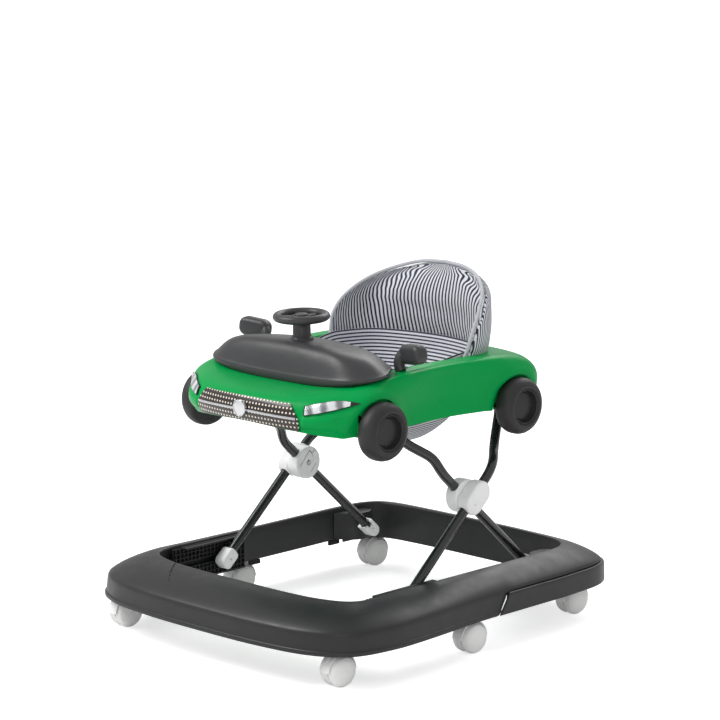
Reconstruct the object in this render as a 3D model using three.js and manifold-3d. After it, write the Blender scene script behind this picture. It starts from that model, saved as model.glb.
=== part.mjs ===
// Baby walker shaped like a toy car, folding on a scissor frame over a wheeled base ring.
// Millimetres, +Z up, front of the walker towards -Y, the child's left hand towards +X.
// The origin is on the floor, under the centre of the base ring.
import * as THREE from 'three';
import { mergeVertices } from 'three/addons/utils/BufferGeometryUtils.js';
import Module from 'manifold-3d';

const wasm = await Module();
wasm.setup();

// Driving dimensions
const GAP = 0.3;

const CASTER = { wheelRadius: 25, trail: 14, stemRadius: 5.2, stemTop: 84, turn: -5 };
const CASTER_PLACES = { front: [244, -288], middle: [265, -11], rear: [230, 281] };

const RING = { lipZ: 54, wall: 3, skirtTop: 82, stations: 48 };
const SEAM = { y: 37, z: 54, slope: 35 };
const PAD = { x: [227, 233], length: 24, height: 7.6, places: { front: -9, rear: 183 } };

// The scissor frame, seen from the side as [y, z]
const PIVOT = [62, 229];
const ARM = { y: 160, z: 143 };
const FRONT_FOOT = [PIVOT[0] - ARM.y, PIVOT[1] - ARM.z];
const REAR_FOOT = [PIVOT[0] + ARM.y, PIVOT[1] - ARM.z];
const CROSSBAR = { reach: 144, z: 385, halfWidth: 124 };
// Above the knee each leg has two more bends: [x, distance from the pivot along Y, z].
const KNEE_DISTANCE = 64;
const FRONT_LEG_BENDS = [[166, 93, 297], [147, 128, 351]];
const REAR_LEG_BENDS = [[174, 58, 298], [150, 112, 331]];
const FRONT_LEG_X = 204;
const REAR_LEG_X = 182;
const TUBE = { radius: 8, bore: 6.8, bend: 26 };
const HUB_SPLIT_X = (FRONT_LEG_X + REAR_LEG_X) / 2;
const PIN_RADIUS = 4.5;
const TRACK = {
  y: [-203, -42], x: [219.5, 223.5], z: [57, 115], slotY: [-198.5, -88], anchoredY: [-180, -42],
  topFlangeX: 212.6, bottomFlangeX: 217, wallX: 228.5, flange: 3, slotHalfHeight: 5,
};
const LOCK_BUTTON = { radius: 5.5, place: [14, 14], length: 12, proud: 2.5 };
const HUB = { discRadius: 28, discThickness: 24, coverRadius: 21, coverThickness: 25 };

const TOY_WHEEL = { radius: 46.6, width: 34, innerX: 185, places: { front: [-144, 368], rear: [176, 363] } };
const STUB_RADIUS = 5;
const BODY_WALL = 3;
const STEERING = { y: -122, rimZ: 523, rimRadius: 39, rimThickness: 7, tilt: 2 };

const FOOT_PIN_ENDS = { front: TRACK.x[1] - 0.7, rear: 210 };

const SIDES = [['left', 1], ['right', -1]];

const MATERIALS = {
  shellBlack: { color: 0x29292b, roughness: 0.42, metalness: 0.0 },
  tubeBlack: { color: 0x161617, roughness: 0.25, metalness: 0.6 },
  hoodGrey: { color: 0x3d3d3f, roughness: 0.4, metalness: 0.0 },
  bodyGreen: { color: 0x00994a, roughness: 0.22, metalness: 0.0 },
  white: { color: 0xe6e6e6, roughness: 0.4, metalness: 0.0 },
  casterGrey: { color: 0xd2d2d0, roughness: 0.45, metalness: 0.0 },
  tyreGrey: { color: 0x383536, roughness: 0.6, metalness: 0.0 },
  grille: { color: 0x2e2420, roughness: 0.4, metalness: 0.0 },
  silver: { color: 0xc8c8ca, roughness: 0.25, metalness: 0.8 },
  lamp: { color: 0xd5d8da, roughness: 0.15, metalness: 0.3 },
  fabric: { color: 0x8f93a3, roughness: 0.9, metalness: 0.0 },
  rubber: { color: 0x151515, roughness: 0.8, metalness: 0.0 },
};

const walker = new THREE.Group();

function addPart(name, geometry, material) {
  geometry.computeVertexNormals();
  const mesh = new THREE.Mesh(geometry, new THREE.MeshStandardMaterial(MATERIALS[material]));
  mesh.name = name;
  walker.add(mesh);
  return mesh;
}

// Shape helpers

function toSolid(geometry) {
  const bare = geometry.clone();
  bare.deleteAttribute('normal');
  bare.deleteAttribute('uv');
  const merged = mergeVertices(bare, 1e-4);
  return new wasm.Manifold(new wasm.Mesh({
    numProp: 3,
    vertProperties: new Float32Array(merged.attributes.position.array),
    triVerts: new Uint32Array(merged.index.array),
  }));
}

function toGeometry(solid) {
  const mesh = solid.getMesh();
  const geometry = new THREE.BufferGeometry();
  geometry.setAttribute('position', new THREE.BufferAttribute(mesh.vertProperties, 3));
  geometry.setIndex(new THREE.BufferAttribute(mesh.triVerts, 1));
  return geometry;
}

function join(...geometries) {
  return toGeometry(geometries.map(toSolid).reduce((whole, piece) => whole.add(piece)));
}

function cut(geometry, ...tools) {
  return toGeometry(tools.map(toSolid).reduce((rest, tool) => rest.subtract(tool), toSolid(geometry)));
}

function common(geometry, tool) {
  return toGeometry(toSolid(geometry).intersect(toSolid(tool)));
}

function flipped(geometry) {
  const index = geometry.index.array;
  for (let i = 0; i < index.length; i += 3) {
    const first = index[i];
    index[i] = index[i + 1];
    index[i + 1] = first;
  }
  return geometry;
}

// Builds a left-hand piece as it is and mirrors it for the right-hand side.
function onSide(geometry, side) {
  if (side > 0) return geometry;
  const copy = geometry.index ? geometry.clone() : mergeVertices(geometry.clone());
  copy.deleteAttribute('normal');
  copy.deleteAttribute('uv');
  return flipped(copy.scale(-1, 1, 1));
}

function signedVolume(geometry) {
  const at = geometry.attributes.position;
  const index = geometry.index.array;
  const [a, b, c] = [new THREE.Vector3(), new THREE.Vector3(), new THREE.Vector3()];
  let total = 0;
  for (let i = 0; i < index.length; i += 3) {
    a.fromBufferAttribute(at, index[i]);
    b.fromBufferAttribute(at, index[i + 1]);
    c.fromBufferAttribute(at, index[i + 2]);
    total += a.dot(b.cross(c));
  }
  return total;
}

// Skins a stack of equal rows of points. Rows are rings. The stack either closes on itself,
// or its first and last rows are shut with a fan around their middle.
function skin(rows, closesOnItself) {
  const count = rows[0].length;
  const points = rows.flat();
  const triangles = [];
  const rowPairs = closesOnItself ? rows.length : rows.length - 1;
  for (let r = 0; r < rowPairs; r++) {
    const here = r * count;
    const next = ((r + 1) % rows.length) * count;
    for (let i = 0; i < count; i++) {
      const j = (i + 1) % count;
      triangles.push(here + i, here + j, next + j, here + i, next + j, next + i);
    }
  }
  if (!closesOnItself) {
    [[0, true], [rows.length - 1, false]].forEach(([row, isFirst]) => {
      const middle = points.length;
      const sum = rows[row].reduce((total, p) => total.add(p), new THREE.Vector3());
      points.push(sum.divideScalar(count));
      for (let i = 0; i < count; i++) {
        const a = row * count + i;
        const b = row * count + (i + 1) % count;
        if (isFirst) triangles.push(middle, b, a);
        else triangles.push(middle, a, b);
      }
    });
  }
  const geometry = new THREE.BufferGeometry().setFromPoints(points);
  geometry.setIndex(new THREE.BufferAttribute(new Uint32Array(triangles), 1));
  return signedVolume(geometry) < 0 ? flipped(geometry) : geometry;
}

// Closes the space between two grids of points that face each other.
function slab(front, back) {
  const [columns, levels] = [front.length, front[0].length];
  const at = (c, l, onBack) => (onBack ? columns * levels : 0) + c * levels + l;
  const triangles = [];
  const quad = (a, b, c, d) => triangles.push(a, b, c, a, c, d);
  for (let c = 0; c < columns - 1; c++) {
    for (let l = 0; l < levels - 1; l++) {
      quad(at(c, l), at(c + 1, l), at(c + 1, l + 1), at(c, l + 1));
      quad(at(c, l, true), at(c, l + 1, true), at(c + 1, l + 1, true), at(c + 1, l, true));
    }
    quad(at(c, 0, true), at(c + 1, 0, true), at(c + 1, 0), at(c, 0));
    quad(at(c, levels - 1), at(c + 1, levels - 1), at(c + 1, levels - 1, true), at(c, levels - 1, true));
  }
  for (let l = 0; l < levels - 1; l++) {
    quad(at(0, l), at(0, l + 1), at(0, l + 1, true), at(0, l, true));
    quad(at(columns - 1, l, true), at(columns - 1, l + 1, true), at(columns - 1, l + 1), at(columns - 1, l));
  }
  const geometry = new THREE.BufferGeometry().setFromPoints([...front.flat(), ...back.flat()]);
  geometry.setIndex(new THREE.BufferAttribute(new Uint32Array(triangles), 1));
  return signedVolume(geometry) < 0 ? flipped(geometry) : geometry;
}

// Moves every point of a stack of rows along its surface normal.
function offsetRows(rows, distance) {
  return rows.map((row, r) => row.map((point, i) => {
    const count = row.length;
    const along = row[(i + 1) % count].clone().sub(row[(i + count - 1) % count]);
    const above = rows[Math.min(r + 1, rows.length - 1)][i];
    const below = rows[Math.max(r - 1, 0)][i];
    const normal = along.cross(above.clone().sub(below)).normalize();
    return point.clone().addScaledVector(normal, distance);
  }));
}

// A wall of even thickness that follows a stack of rows and is open at its first and last row.
function wallAlong(rows, thickness) {
  const inner = offsetRows(rows, -thickness);
  return skin([...rows, ...inner.reverse()], true);
}

function mirroredLoop(half) {
  const others = half.slice(1, -1).reverse().map(([x, ...rest]) => [-x, ...rest]);
  return [...half, ...others];
}

function loopCurve(half) {
  const points = mirroredLoop(half).map(([x, y, z = 0]) => new THREE.Vector3(x, y, z));
  return new THREE.CatmullRomCurve3(points, true, 'catmullrom', 0.5);
}

function box(size, centre) {
  return new THREE.BoxGeometry(...size).translate(...centre);
}

function boxBetween([x0, x1], [y0, y1], [z0, z1]) {
  return box([x1 - x0, y1 - y0, z1 - z0], [(x0 + x1) / 2, (y0 + y1) / 2, (z0 + z1) / 2]);
}

// A cylinder along X, between two values of x.
function rodAlongX(radius, [x0, x1], [y, z], segments = 20) {
  const rod = new THREE.CylinderGeometry(radius, radius, x1 - x0, segments).rotateZ(Math.PI / 2);
  return rod.translate((x0 + x1) / 2, y, z);
}

function rodAlongZ(radius, [z0, z1], [x, y], segments = 20) {
  const rod = new THREE.CylinderGeometry(radius, radius, z1 - z0, segments).rotateX(Math.PI / 2);
  return rod.translate(x, y, (z0 + z1) / 2);
}

// A turned piece with its axis along X; the profile is a list of [radius, x].
function turnedAlongX(profile, segments) {
  const points = profile.map(([radius, x]) => new THREE.Vector2(radius, x));
  const turned = mergeVertices(new THREE.LatheGeometry(points, segments).deleteAttribute('uv'));
  turned.deleteAttribute('normal');
  const merged = mergeVertices(turned, 1e-4).rotateZ(-Math.PI / 2);
  return signedVolume(merged) < 0 ? flipped(merged) : merged;
}

function roundedOutline(width, height, radius) {
  const outline = new THREE.Shape();
  const [w, h] = [width / 2 - radius, height / 2 - radius];
  outline.absarc(w, h, radius, 0, Math.PI / 2);
  outline.absarc(-w, h, radius, Math.PI / 2, Math.PI);
  outline.absarc(-w, -h, radius, Math.PI, Math.PI * 1.5);
  outline.absarc(w, -h, radius, Math.PI * 1.5, Math.PI * 2);
  return outline;
}

// A flat plate whose outline lies in the side view (y right, z up) and whose thickness is along X.
function plateAcrossX(outline, thickness, bevel, curveSegments = 4) {
  const plate = new THREE.ExtrudeGeometry(outline, {
    depth: thickness - 2 * bevel,
    bevelEnabled: bevel > 0,
    bevelThickness: bevel,
    bevelSize: bevel,
    bevelOffset: -bevel,
    bevelSegments: 1,
    curveSegments,
  });
  return plate.translate(0, 0, -(thickness - 2 * bevel) / 2).rotateX(Math.PI / 2).rotateZ(Math.PI / 2);
}

// Casters

function casterWheel() {
  const { wheelRadius: r } = CASTER;
  return turnedAlongX([
    [0, 13], [3.4, 13], [3.4, 4], [r, 5], [r, 13], [r - 5, 18], [0, 20.6],
  ], 16);
}

function casterHousing() {
  const { wheelRadius: r, trail, stemRadius, stemTop } = CASTER;
  const hood = new THREE.Shape();
  hood.absarc(0, 0, r + 3, 0, Math.PI);
  hood.absarc(0, 0, r + 1, Math.PI, 0, true);
  const hoodPlate = plateAcrossX(hood, 22, 0, 5);
  const web = new THREE.Shape();
  web.absarc(0, 0, r - 1, Math.PI * 1.1, Math.PI * 1.9);
  web.lineTo(r + 2, 0);
  web.lineTo(r - 3, r - 6);
  web.lineTo(trail, r + 1.5);
  web.lineTo(-trail, r + 1.5);
  web.lineTo(-r + 3, r - 6);
  web.lineTo(-r - 2, 0);
  const stem = rodAlongZ(stemRadius, [r - 1, stemTop - r], [0, trail], 8);
  const axle = rodAlongX(2.9, [-12.6, 12.6], [0, 0], 6);
  return join(plateAcrossX(web, 5.2, 0, 4), hoodPlate, stem, axle);
}

// Places a caster piece so that the swivel axis stands over its place in the base.
function placeCaster(geometry, [x, y]) {
  const turned = geometry.translate(0, -CASTER.trail, CASTER.wheelRadius);
  return turned.rotateZ(THREE.MathUtils.degToRad(CASTER.turn)).translate(x, y, 0);
}

function swivelPlace(end, side) {
  const [x, y] = CASTER_PLACES[end];
  const turn = THREE.MathUtils.degToRad(CASTER.turn);
  return [side * x - CASTER.trail * Math.sin(turn), y + CASTER.trail * Math.cos(turn)];
}

function addCasters() {
  Object.keys(CASTER_PLACES).forEach((end) => SIDES.forEach(([side, sign]) => {
    const place = swivelPlace(end, sign);
    const name = `caster_${end}_${side}`;
    addPart(`${name}_housing`, placeCaster(casterHousing(), place), 'casterGrey');
    addPart(`${name}_wheel_outer`, placeCaster(casterWheel(), place), 'casterGrey');
    addPart(`${name}_wheel_inner`, placeCaster(casterWheel().rotateZ(Math.PI), place), 'casterGrey');
  }));
}

// Base ring

const RING_OUTER = [
  [0, -356], [120, -352], [214, -333], [272, -288], [298, -214], [299, -140], [288, -12],
  [286, 110], [284, 215], [272, 303], [228, 344.5], [110, 353.3], [0, 353.3],
];
const RING_INNER = [
  [0, -264], [85, -263], [156, -255], [205, -232], [226, -200], [229, -150], [229, -12],
  [229, 110], [229, 205], [222, 254], [190, 282], [95, 290], [0, 291],
];

// The section of the ring as [share of the width from the outer edge to the inner edge, height].
const RING_SECTION = [
  [0, 54], [0, 60], [0.03, 61], [0.05, 80], [0.09, 90], [0.2, 99], [0.45, 107], [0.7, 112.5],
  [0.93, 117.5], [1, 114], [1, 54],
];
const SKIRT_SECTION = [
  [-0.035, 54], [-0.035, 78.5], [-0.01, RING.skirtTop - GAP], [0.1, RING.skirtTop - GAP], [0.02, 54],
];
const RING_HOLLOW = [[0.02, 58], [0.07, 84], [0.22, 97.5], [0.7, 110], [0.97, 113], [0.98, 58]];

function ringRows(section) {
  const outer = loopCurve(RING_OUTER);
  const inner = loopCurve(RING_INNER);
  return section.map(([share, z]) => Array.from({ length: RING.stations }, (_, i) => {
    const point = outer.getPoint(i / RING.stations).lerp(inner.getPoint(i / RING.stations), share);
    return point.setZ(z);
  }));
}

// Everything behind the slanted joint between the top shell and the rear skirt.
function behindSeam(shift) {
  const half = boxBetween([-400, 400], [shift, 800], [-400, 400]);
  return half.rotateX(THREE.MathUtils.degToRad(-SEAM.slope)).translate(0, SEAM.y, SEAM.z);
}

function casterBosses() {
  return Object.keys(CASTER_PLACES).flatMap((end) => SIDES.map(([, sign]) => {
    const [x, y] = swivelPlace(end, sign);
    const boss = rodAlongZ(10, [56, 112], [x, y], 10);
    return { boss, bore: rodAlongZ(CASTER.stemRadius + 0.5, [40, CASTER.stemTop + 1.5], [x, y], 10) };
  }));
}

function ringShell() {
  const shell = wallAlong(ringRows(RING_SECTION), RING.wall);
  const inside = skin(ringRows(RING_HOLLOW), true);
  const bosses = casterBosses();
  const stiffeners = common(join(...bosses.map(({ boss }) => boss)), inside);
  const skirtRoom = ringRows([[-0.2, 40], [-0.2, RING.skirtTop], [0.22, RING.skirtTop], [0.1, 40]]);
  const room = common(skin(skirtRoom, true), behindSeam(-2 * GAP));
  const raisedEdge = boxBetween([222, 238], [-38, 206], [RING.lipZ - 5, RING.lipZ + PAD.height + GAP]);
  return cut(join(shell, stiffeners), room, raisedEdge, onSide(raisedEdge, -1),
    ...bosses.map(({ bore }) => bore), panelGroove());
}

// A shallow curved groove across the front of the top surface.
function panelGroove() {
  const [radius, width, bottom] = [190, 1.4, 1.1];
  const band = new THREE.Shape();
  band.absarc(0, 0, radius, 0, Math.PI * 2);
  const hole = new THREE.Path();
  hole.absarc(0, 0, radius - width, 0, Math.PI * 2);
  band.holes.push(hole);
  const ring = new THREE.ExtrudeGeometry(band, { depth: 60, bevelEnabled: false, curveSegments: 20 });
  const surface = ringRows(RING_SECTION.slice(3, -1).map(([share, z]) => [share, z - bottom]));
  const top = ringRows([[0.95, 140], [0.09, 140]]);
  const above = skin([...surface.slice(1), ...top], true);
  const region = boxBetween([-170, -100], [-345, -268], [80, 140]);
  return common(ring.translate(-318, -268, 80), common(above, region));
}

function addBase() {
  addPart('base_top_shell', ringShell(), 'shellBlack');
  addPart('base_rear_skirt', common(skin(ringRows(SKIRT_SECTION), true), behindSeam(0)), 'shellBlack');
  SIDES.forEach(([side, sign]) => {
    Object.entries(PAD.places).forEach(([end, y]) => {
      const padY = [y - PAD.length / 2, y + PAD.length / 2];
      const pad = boxBetween(PAD.x, padY, [RING.lipZ, RING.lipZ + PAD.height]);
      addPart(`brake_pad_${end}_${side}`, onSide(pad, sign), 'rubber');
    });
    addPart(`slide_track_${side}`, onSide(slideTrack(), sign), 'shellBlack');
    addPart(`rear_foot_bracket_${side}`, onSide(rearFootBracket(), sign), 'shellBlack');
  });
}

// The rail that the front foot's pin slides along, with its slot and its top flange.
function slideTrack() {
  const web = boxBetween(TRACK.x, TRACK.y, TRACK.z);
  const { anchoredY, bottomFlangeX, flange, slotHalfHeight, slotY, topFlangeX, wallX, z } = TRACK;
  const topFlange = boxBetween([topFlangeX, wallX], anchoredY, [z[1] - flange, z[1]]);
  const bottomFlange = boxBetween([bottomFlangeX, wallX], anchoredY, [z[0], z[0] + flange]);
  const slotHeights = [FRONT_FOOT[1] - slotHalfHeight, FRONT_FOOT[1] + slotHalfHeight];
  const slot = boxBetween([200, 226], slotY, slotHeights);
  return cut(join(web, topFlange, bottomFlange), slot);
}

// The wedge in the rear corner of the ring that carries the rear foot's pin.
function rearFootBracket() {
  const [y, z] = REAR_FOOT;
  const wedge = new THREE.Shape();
  wedge.moveTo(228.4, y - 40);
  wedge.lineTo(214, y - 26);
  wedge.quadraticCurveTo(HUB_SPLIT_X + 2, y - 16, HUB_SPLIT_X + 2, y);
  wedge.lineTo(HUB_SPLIT_X + 2, y + 16);
  wedge.lineTo(204, y + 30);
  wedge.lineTo(223, y + 22);
  wedge.lineTo(228.2, y - 16);
  const block = new THREE.ExtrudeGeometry(wedge, { depth: 47, bevelEnabled: false, curveSegments: 3 });
  return cut(block.translate(0, 0, z - 23), rodAlongX(PIN_RADIUS + 0.4, [180, 211], [y, z], 14));
}

// Scissor frame

// A path of straight runs joined by rounded bends.
function bentPath(corners, bend) {
  const path = new THREE.CurvePath();
  let start = corners[0];
  corners.slice(1).forEach((corner, i) => {
    const after = corners[i + 2];
    if (!after) {
      path.add(new THREE.LineCurve3(start, corner));
      return;
    }
    const cutBack = Math.min(bend, corner.distanceTo(start) * 0.45, corner.distanceTo(after) * 0.45);
    const enter = corner.clone().lerp(start, cutBack / corner.distanceTo(start));
    const leave = corner.clone().lerp(after, cutBack / corner.distanceTo(after));
    path.add(new THREE.LineCurve3(start, enter));
    path.add(new THREE.QuadraticBezierCurve3(enter, corner, leave));
    start = leave;
  });
  return path;
}

// One leg of the scissor: a steel tube bent to a U, from one foot up over the crossbar and down again.
function legTube(x, foot, towards, bends) {
  const up = new THREE.Vector2(towards * ARM.y, ARM.z).normalize();
  const alongArm = (from, distance) => [from[0] + up.x * distance, from[1] + up.y * distance];
  const half = [
    [x, ...alongArm(foot, 8)],
    [x, ...alongArm(PIVOT, KNEE_DISTANCE)],
    ...bends.map(([bendX, reach, z]) => [bendX, PIVOT[0] + towards * reach, z]),
    [CROSSBAR.halfWidth, PIVOT[0] + towards * CROSSBAR.reach, CROSSBAR.z],
  ].map((p) => new THREE.Vector3(...p));
  const other = half.map((p) => new THREE.Vector3(-p.x, p.y, p.z)).reverse();
  const section = new THREE.Shape();
  section.absarc(0, 0, TUBE.radius, 0, Math.PI * 2);
  const bore = new THREE.Path();
  bore.absarc(0, 0, TUBE.bore, 0, Math.PI * 2);
  section.holes.push(bore);
  const tube = new THREE.ExtrudeGeometry(section, {
    extrudePath: bentPath([...half, ...other], TUBE.bend),
    steps: 38,
    curveSegments: 4,
    bevelEnabled: false,
  });
  return cut(tube, rodAlongX(PIN_RADIUS + 0.4, [-300, 300], PIVOT, 12));
}

// The room that a leg's tube takes in a moulding, measured along the tube from the moulding's middle.
function tubeHole(x, towards, from, to) {
  const hole = new THREE.CylinderGeometry(TUBE.radius + 0.6, TUBE.radius + 0.6, to - from, 12);
  hole.translate(0, (from + to) / 2, 0).rotateX(Math.atan2(ARM.z, towards * ARM.y));
  return hole.translate(x, 0, 0);
}

// The outer cover of a pivot: a drop-shaped moulding around the front leg's tube.
function hubCover() {
  const outline = new THREE.Shape();
  outline.absarc(0, -4, HUB.coverRadius, Math.PI, Math.PI * 2);
  outline.absarc(0, 15, HUB.coverRadius, 0, Math.PI);
  const thickness = HUB.coverThickness;
  const lean = Math.atan2(ARM.y, ARM.z);
  const plate = plateAcrossX(outline, thickness, 0, 6).rotateX(-lean);
  const tube = tubeHole(FRONT_LEG_X - HUB_SPLIT_X - 0.15 - thickness / 2, 1, -60, 60);
  const bored = cut(plate, tube, rodAlongX(PIN_RADIUS + 0.3, [-40, 9], [0, 0], 14));
  return bored.translate(HUB_SPLIT_X + 0.15 + thickness / 2, ...PIVOT);
}

// The inner half of a pivot: a round housing around the rear leg's tube, with the lock button's hole.
function hubDisc() {
  const outline = new THREE.Shape();
  outline.absarc(0, 0, HUB.discRadius, 0, Math.PI * 2);
  const thickness = HUB.discThickness;
  const middle = HUB_SPLIT_X - 0.15 - thickness / 2;
  const plate = plateAcrossX(outline, thickness, 0, 8);
  const tube = tubeHole(REAR_LEG_X - middle, -1, -60, 60);
  const [y, z] = LOCK_BUTTON.place;
  const well = rodAlongX(LOCK_BUTTON.radius + 0.4, [-40, 4], [y, z], 14);
  const bored = cut(plate, tube, rodAlongX(PIN_RADIUS + 0.3, [-40, 40], [0, 0], 14), well);
  return bored.translate(middle, ...PIVOT);
}

function lockButton() {
  const outer = HUB_SPLIT_X - HUB.discThickness - LOCK_BUTTON.proud;
  const [y, z] = [PIVOT[0] + LOCK_BUTTON.place[0], PIVOT[1] + LOCK_BUTTON.place[1]];
  return rodAlongX(LOCK_BUTTON.radius, [outer, outer + LOCK_BUTTON.length], [y, z], 14);
}

function pivotPin() {
  return rodAlongX(PIN_RADIUS, [HUB_SPLIT_X - 25.5, FRONT_LEG_X + 8], PIVOT, 14);
}

// A moulded cap over a tube's end, with the pin that it pivots or slides on.
function footCap(x, foot, towards, pinEnd) {
  const lean = Math.atan2(ARM.y, ARM.z);
  const block = plateAcrossX(roundedOutline(24, 34, 8), 22.5, 0, 2).rotateX(-towards * lean);
  const tube = tubeHole(0, towards, 3, 60);
  const cap = cut(block, tube).translate(x, ...foot);
  return join(cap, rodAlongX(PIN_RADIUS - 0.2, [x + 9, pinEnd], foot, 12));
}

function addFrame() {
  addPart('front_leg_tube', legTube(FRONT_LEG_X, FRONT_FOOT, 1, FRONT_LEG_BENDS), 'tubeBlack');
  addPart('rear_leg_tube', legTube(REAR_LEG_X, REAR_FOOT, -1, REAR_LEG_BENDS), 'tubeBlack');
  SIDES.forEach(([side, sign]) => {
    addPart(`hub_cover_${side}`, onSide(hubCover(), sign), 'white');
    addPart(`hub_disc_${side}`, onSide(hubDisc(), sign), 'white');
    addPart(`pivot_pin_${side}`, onSide(pivotPin(), sign), 'silver');
    addPart(`fold_lock_button_${side}`, onSide(lockButton(), sign), 'white');
    const frontFoot = footCap(FRONT_LEG_X, FRONT_FOOT, 1, FOOT_PIN_ENDS.front);
    const rearFoot = footCap(REAR_LEG_X, REAR_FOOT, -1, FOOT_PIN_ENDS.rear);
    addPart(`front_foot_${side}`, onSide(frontFoot, sign), 'white');
    addPart(`rear_foot_${side}`, onSide(rearFoot, sign), 'white');
  });
}

// Car body

// Lines along the body from the middle of the nose to the middle of the tail, each from the same
// places: nose, grille end, front corner, front wheel, waist, rear wheel, rear corner, tail.
const BODY_LINES = {
  sill: [[0, -247, 372], [96, -238, 368], [158, -204, 361], [183, -148, 362], [184, 15, 364],
    [184, 176, 360], [158, 246, 374], [0, 268, 380]],
  bumper: [[0, -253, 390], [98, -244, 388], [162, -214, 386], [189, -152, 388], [179, 15, 392],
    [190, 176, 388], [170, 251, 394], [0, 277, 397]],
  shoulder: [[0, -245, 413], [95, -236, 412], [159, -203, 416], [193, -148, 420], [180, 15, 430],
    [196, 174, 420], [169, 243, 418], [0, 270, 416]],
  belt: [[0, -218, 423], [89, -209, 424], [146, -178, 431], [180, -126, 440], [181, 15, 446],
    [186, 160, 443], [156, 225, 436], [0, 249, 434]],
  deck: [[0, -140, 429], [84, -134, 431], [138, -110, 436], [164, -76, 444], [165, 20, 448],
    [167, 132, 448], [132, 202, 444], [0, 226, 441]],
  cockpit: [[0, -46, 436], [78, -46, 438], [126, -40, 440], [148, -12, 446], [151, 40, 448],
    [150, 112, 447], [112, 184, 443], [0, 204, 441]],
  flange: [[0, -44, 416], [78, -44, 416], [125, -38, 418], [146, -11, 424], [149, 40, 428],
    [148, 111, 427], [110, 181, 423], [0, 201, 421]],
};
const BODY_GRID = { stations: 36, rowsPerLine: 2 };
const bodyCurves = Object.values(BODY_LINES).map(loopCurve);

// A point of the body's skin: `around` runs once round the car from the nose,
// `up` counts the lines from the sill.
function bodyPoint(around, up) {
  const points = bodyCurves.map((curve) => curve.getPoint(((around % 1) + 1) % 1));
  const section = new THREE.CatmullRomCurve3(points, false, 'centripetal');
  return section.getPoint(up / (points.length - 1));
}

function bodyRows() {
  const lines = bodyCurves.length - 1;
  const rowCount = lines * BODY_GRID.rowsPerLine;
  return Array.from({ length: rowCount + 1 }, (_, r) => Array.from({ length: BODY_GRID.stations }, (_, i) => (
    bodyPoint(i / BODY_GRID.stations, (r / rowCount) * lines))));
}

// A wheel arch: the flat wall behind a toy wheel with the stub that the wheel turns on.
function wheelArch([y, z]) {
  const { innerX } = TOY_WHEEL;
  const wall = cut(rodAlongX(53, [innerX - 4, innerX - 1], [y, z], 18),
    boxBetween([100, 300], [y - 80, y + 80], [z - 80, z - 9]));
  return join(wall, rodAlongX(STUB_RADIUS, [innerX - 4, innerX + 18], [y, z], 12));
}

function archRoom(place) {
  const { innerX, radius } = TOY_WHEEL;
  return rodAlongX(radius + 3.5, [innerX - 1, innerX + 60], place, 18);
}

const SLIDE_PLATE = {
  x: 84, thickness: 8, slotLength: 134,
  outline: [[-232, 370], [-62, 370], [-62, 435.5], [-134, 429.5], [-205, 423.5], [-232, 414.5]],
};
const SADDLE = { x: 80, halfWidth: 9, halfLength: 14, top: 441, below: 13 };

// The moulded hangers under the body: a bored saddle for the front leg's crossbar,
// and a slotted plate that the rear leg's crossbar slides along as the frame folds.
function hangers() {
  const [hingeY, slideY] = [PIVOT[0] + CROSSBAR.reach, PIVOT[0] - CROSSBAR.reach];
  const bore = TUBE.radius + 0.5;
  const outline = new THREE.Shape(SLIDE_PLATE.outline.map(([y, z]) => new THREE.Vector2(y, z)));
  const heights = [CROSSBAR.z - SADDLE.below, SADDLE.top];
  const lengths = [hingeY - SADDLE.halfLength, hingeY + SADDLE.halfLength];
  return [-1, 1].flatMap((side) => {
    const x = side * SADDLE.x;
    const saddle = boxBetween([x - SADDLE.halfWidth, x + SADDLE.halfWidth], lengths, heights);
    const hole = rodAlongX(bore, [x - 30, x + 30], [hingeY, CROSSBAR.z], 16);
    const plate = plateAcrossX(outline, SLIDE_PLATE.thickness, 0).translate(side * SLIDE_PLATE.x, 0, 0);
    const slot = boxBetween([side * SLIDE_PLATE.x - 20, side * SLIDE_PLATE.x + 20],
      [slideY - SLIDE_PLATE.slotLength, slideY + bore], [CROSSBAR.z - bore, CROSSBAR.z + bore]);
    return [cut(saddle, hole), cut(plate, slot)];
  });
}

function carBody() {
  const rows = bodyRows();
  const shell = wallAlong(rows, BODY_WALL);
  const wheels = Object.values(TOY_WHEEL.places);
  const arches = wheels.map(wheelArch);
  const rooms = wheels.map(archRoom);
  const mirroredArches = arches.map((arch) => onSide(arch, -1));
  const mirroredRooms = rooms.map((room) => onSide(room, -1));
  return join(cut(shell, ...rooms, ...mirroredRooms), ...arches, ...mirroredArches, ...hangers());
}

const PATCH_LIFT = 2.0;

// A thin plate that lies on the body's skin. `low` and `high` give its edges as line counts.
function patchOnBody([from, to], columns, low, high, thickness) {
  const shares = Array.from({ length: columns + 1 }, (_, i) => i / columns);
  const heights = [0, 0.25, 0.5, 0.75, 1];
  const face = (lift) => shares.map((share) => heights.map((height) => {
    const around = from + (to - from) * share;
    const up = low(share) + (high(share) - low(share)) * height;
    const here = bodyPoint(around, up);
    const normal = bodyPoint(around + 0.002, up).sub(bodyPoint(around - 0.002, up))
      .cross(bodyPoint(around, up + 0.02).sub(bodyPoint(around, up - 0.02))).normalize();
    return here.addScaledVector(normal, lift);
  }));
  return slab(face(PATCH_LIFT + thickness), face(PATCH_LIFT));
}

const stationsAround = (count) => count / (2 * (BODY_LINES.sill.length - 1));

const HEADLIGHT = { from: 1.34, to: 2.62, thickness: 1.2, leastHeight: 0.03 };

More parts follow.
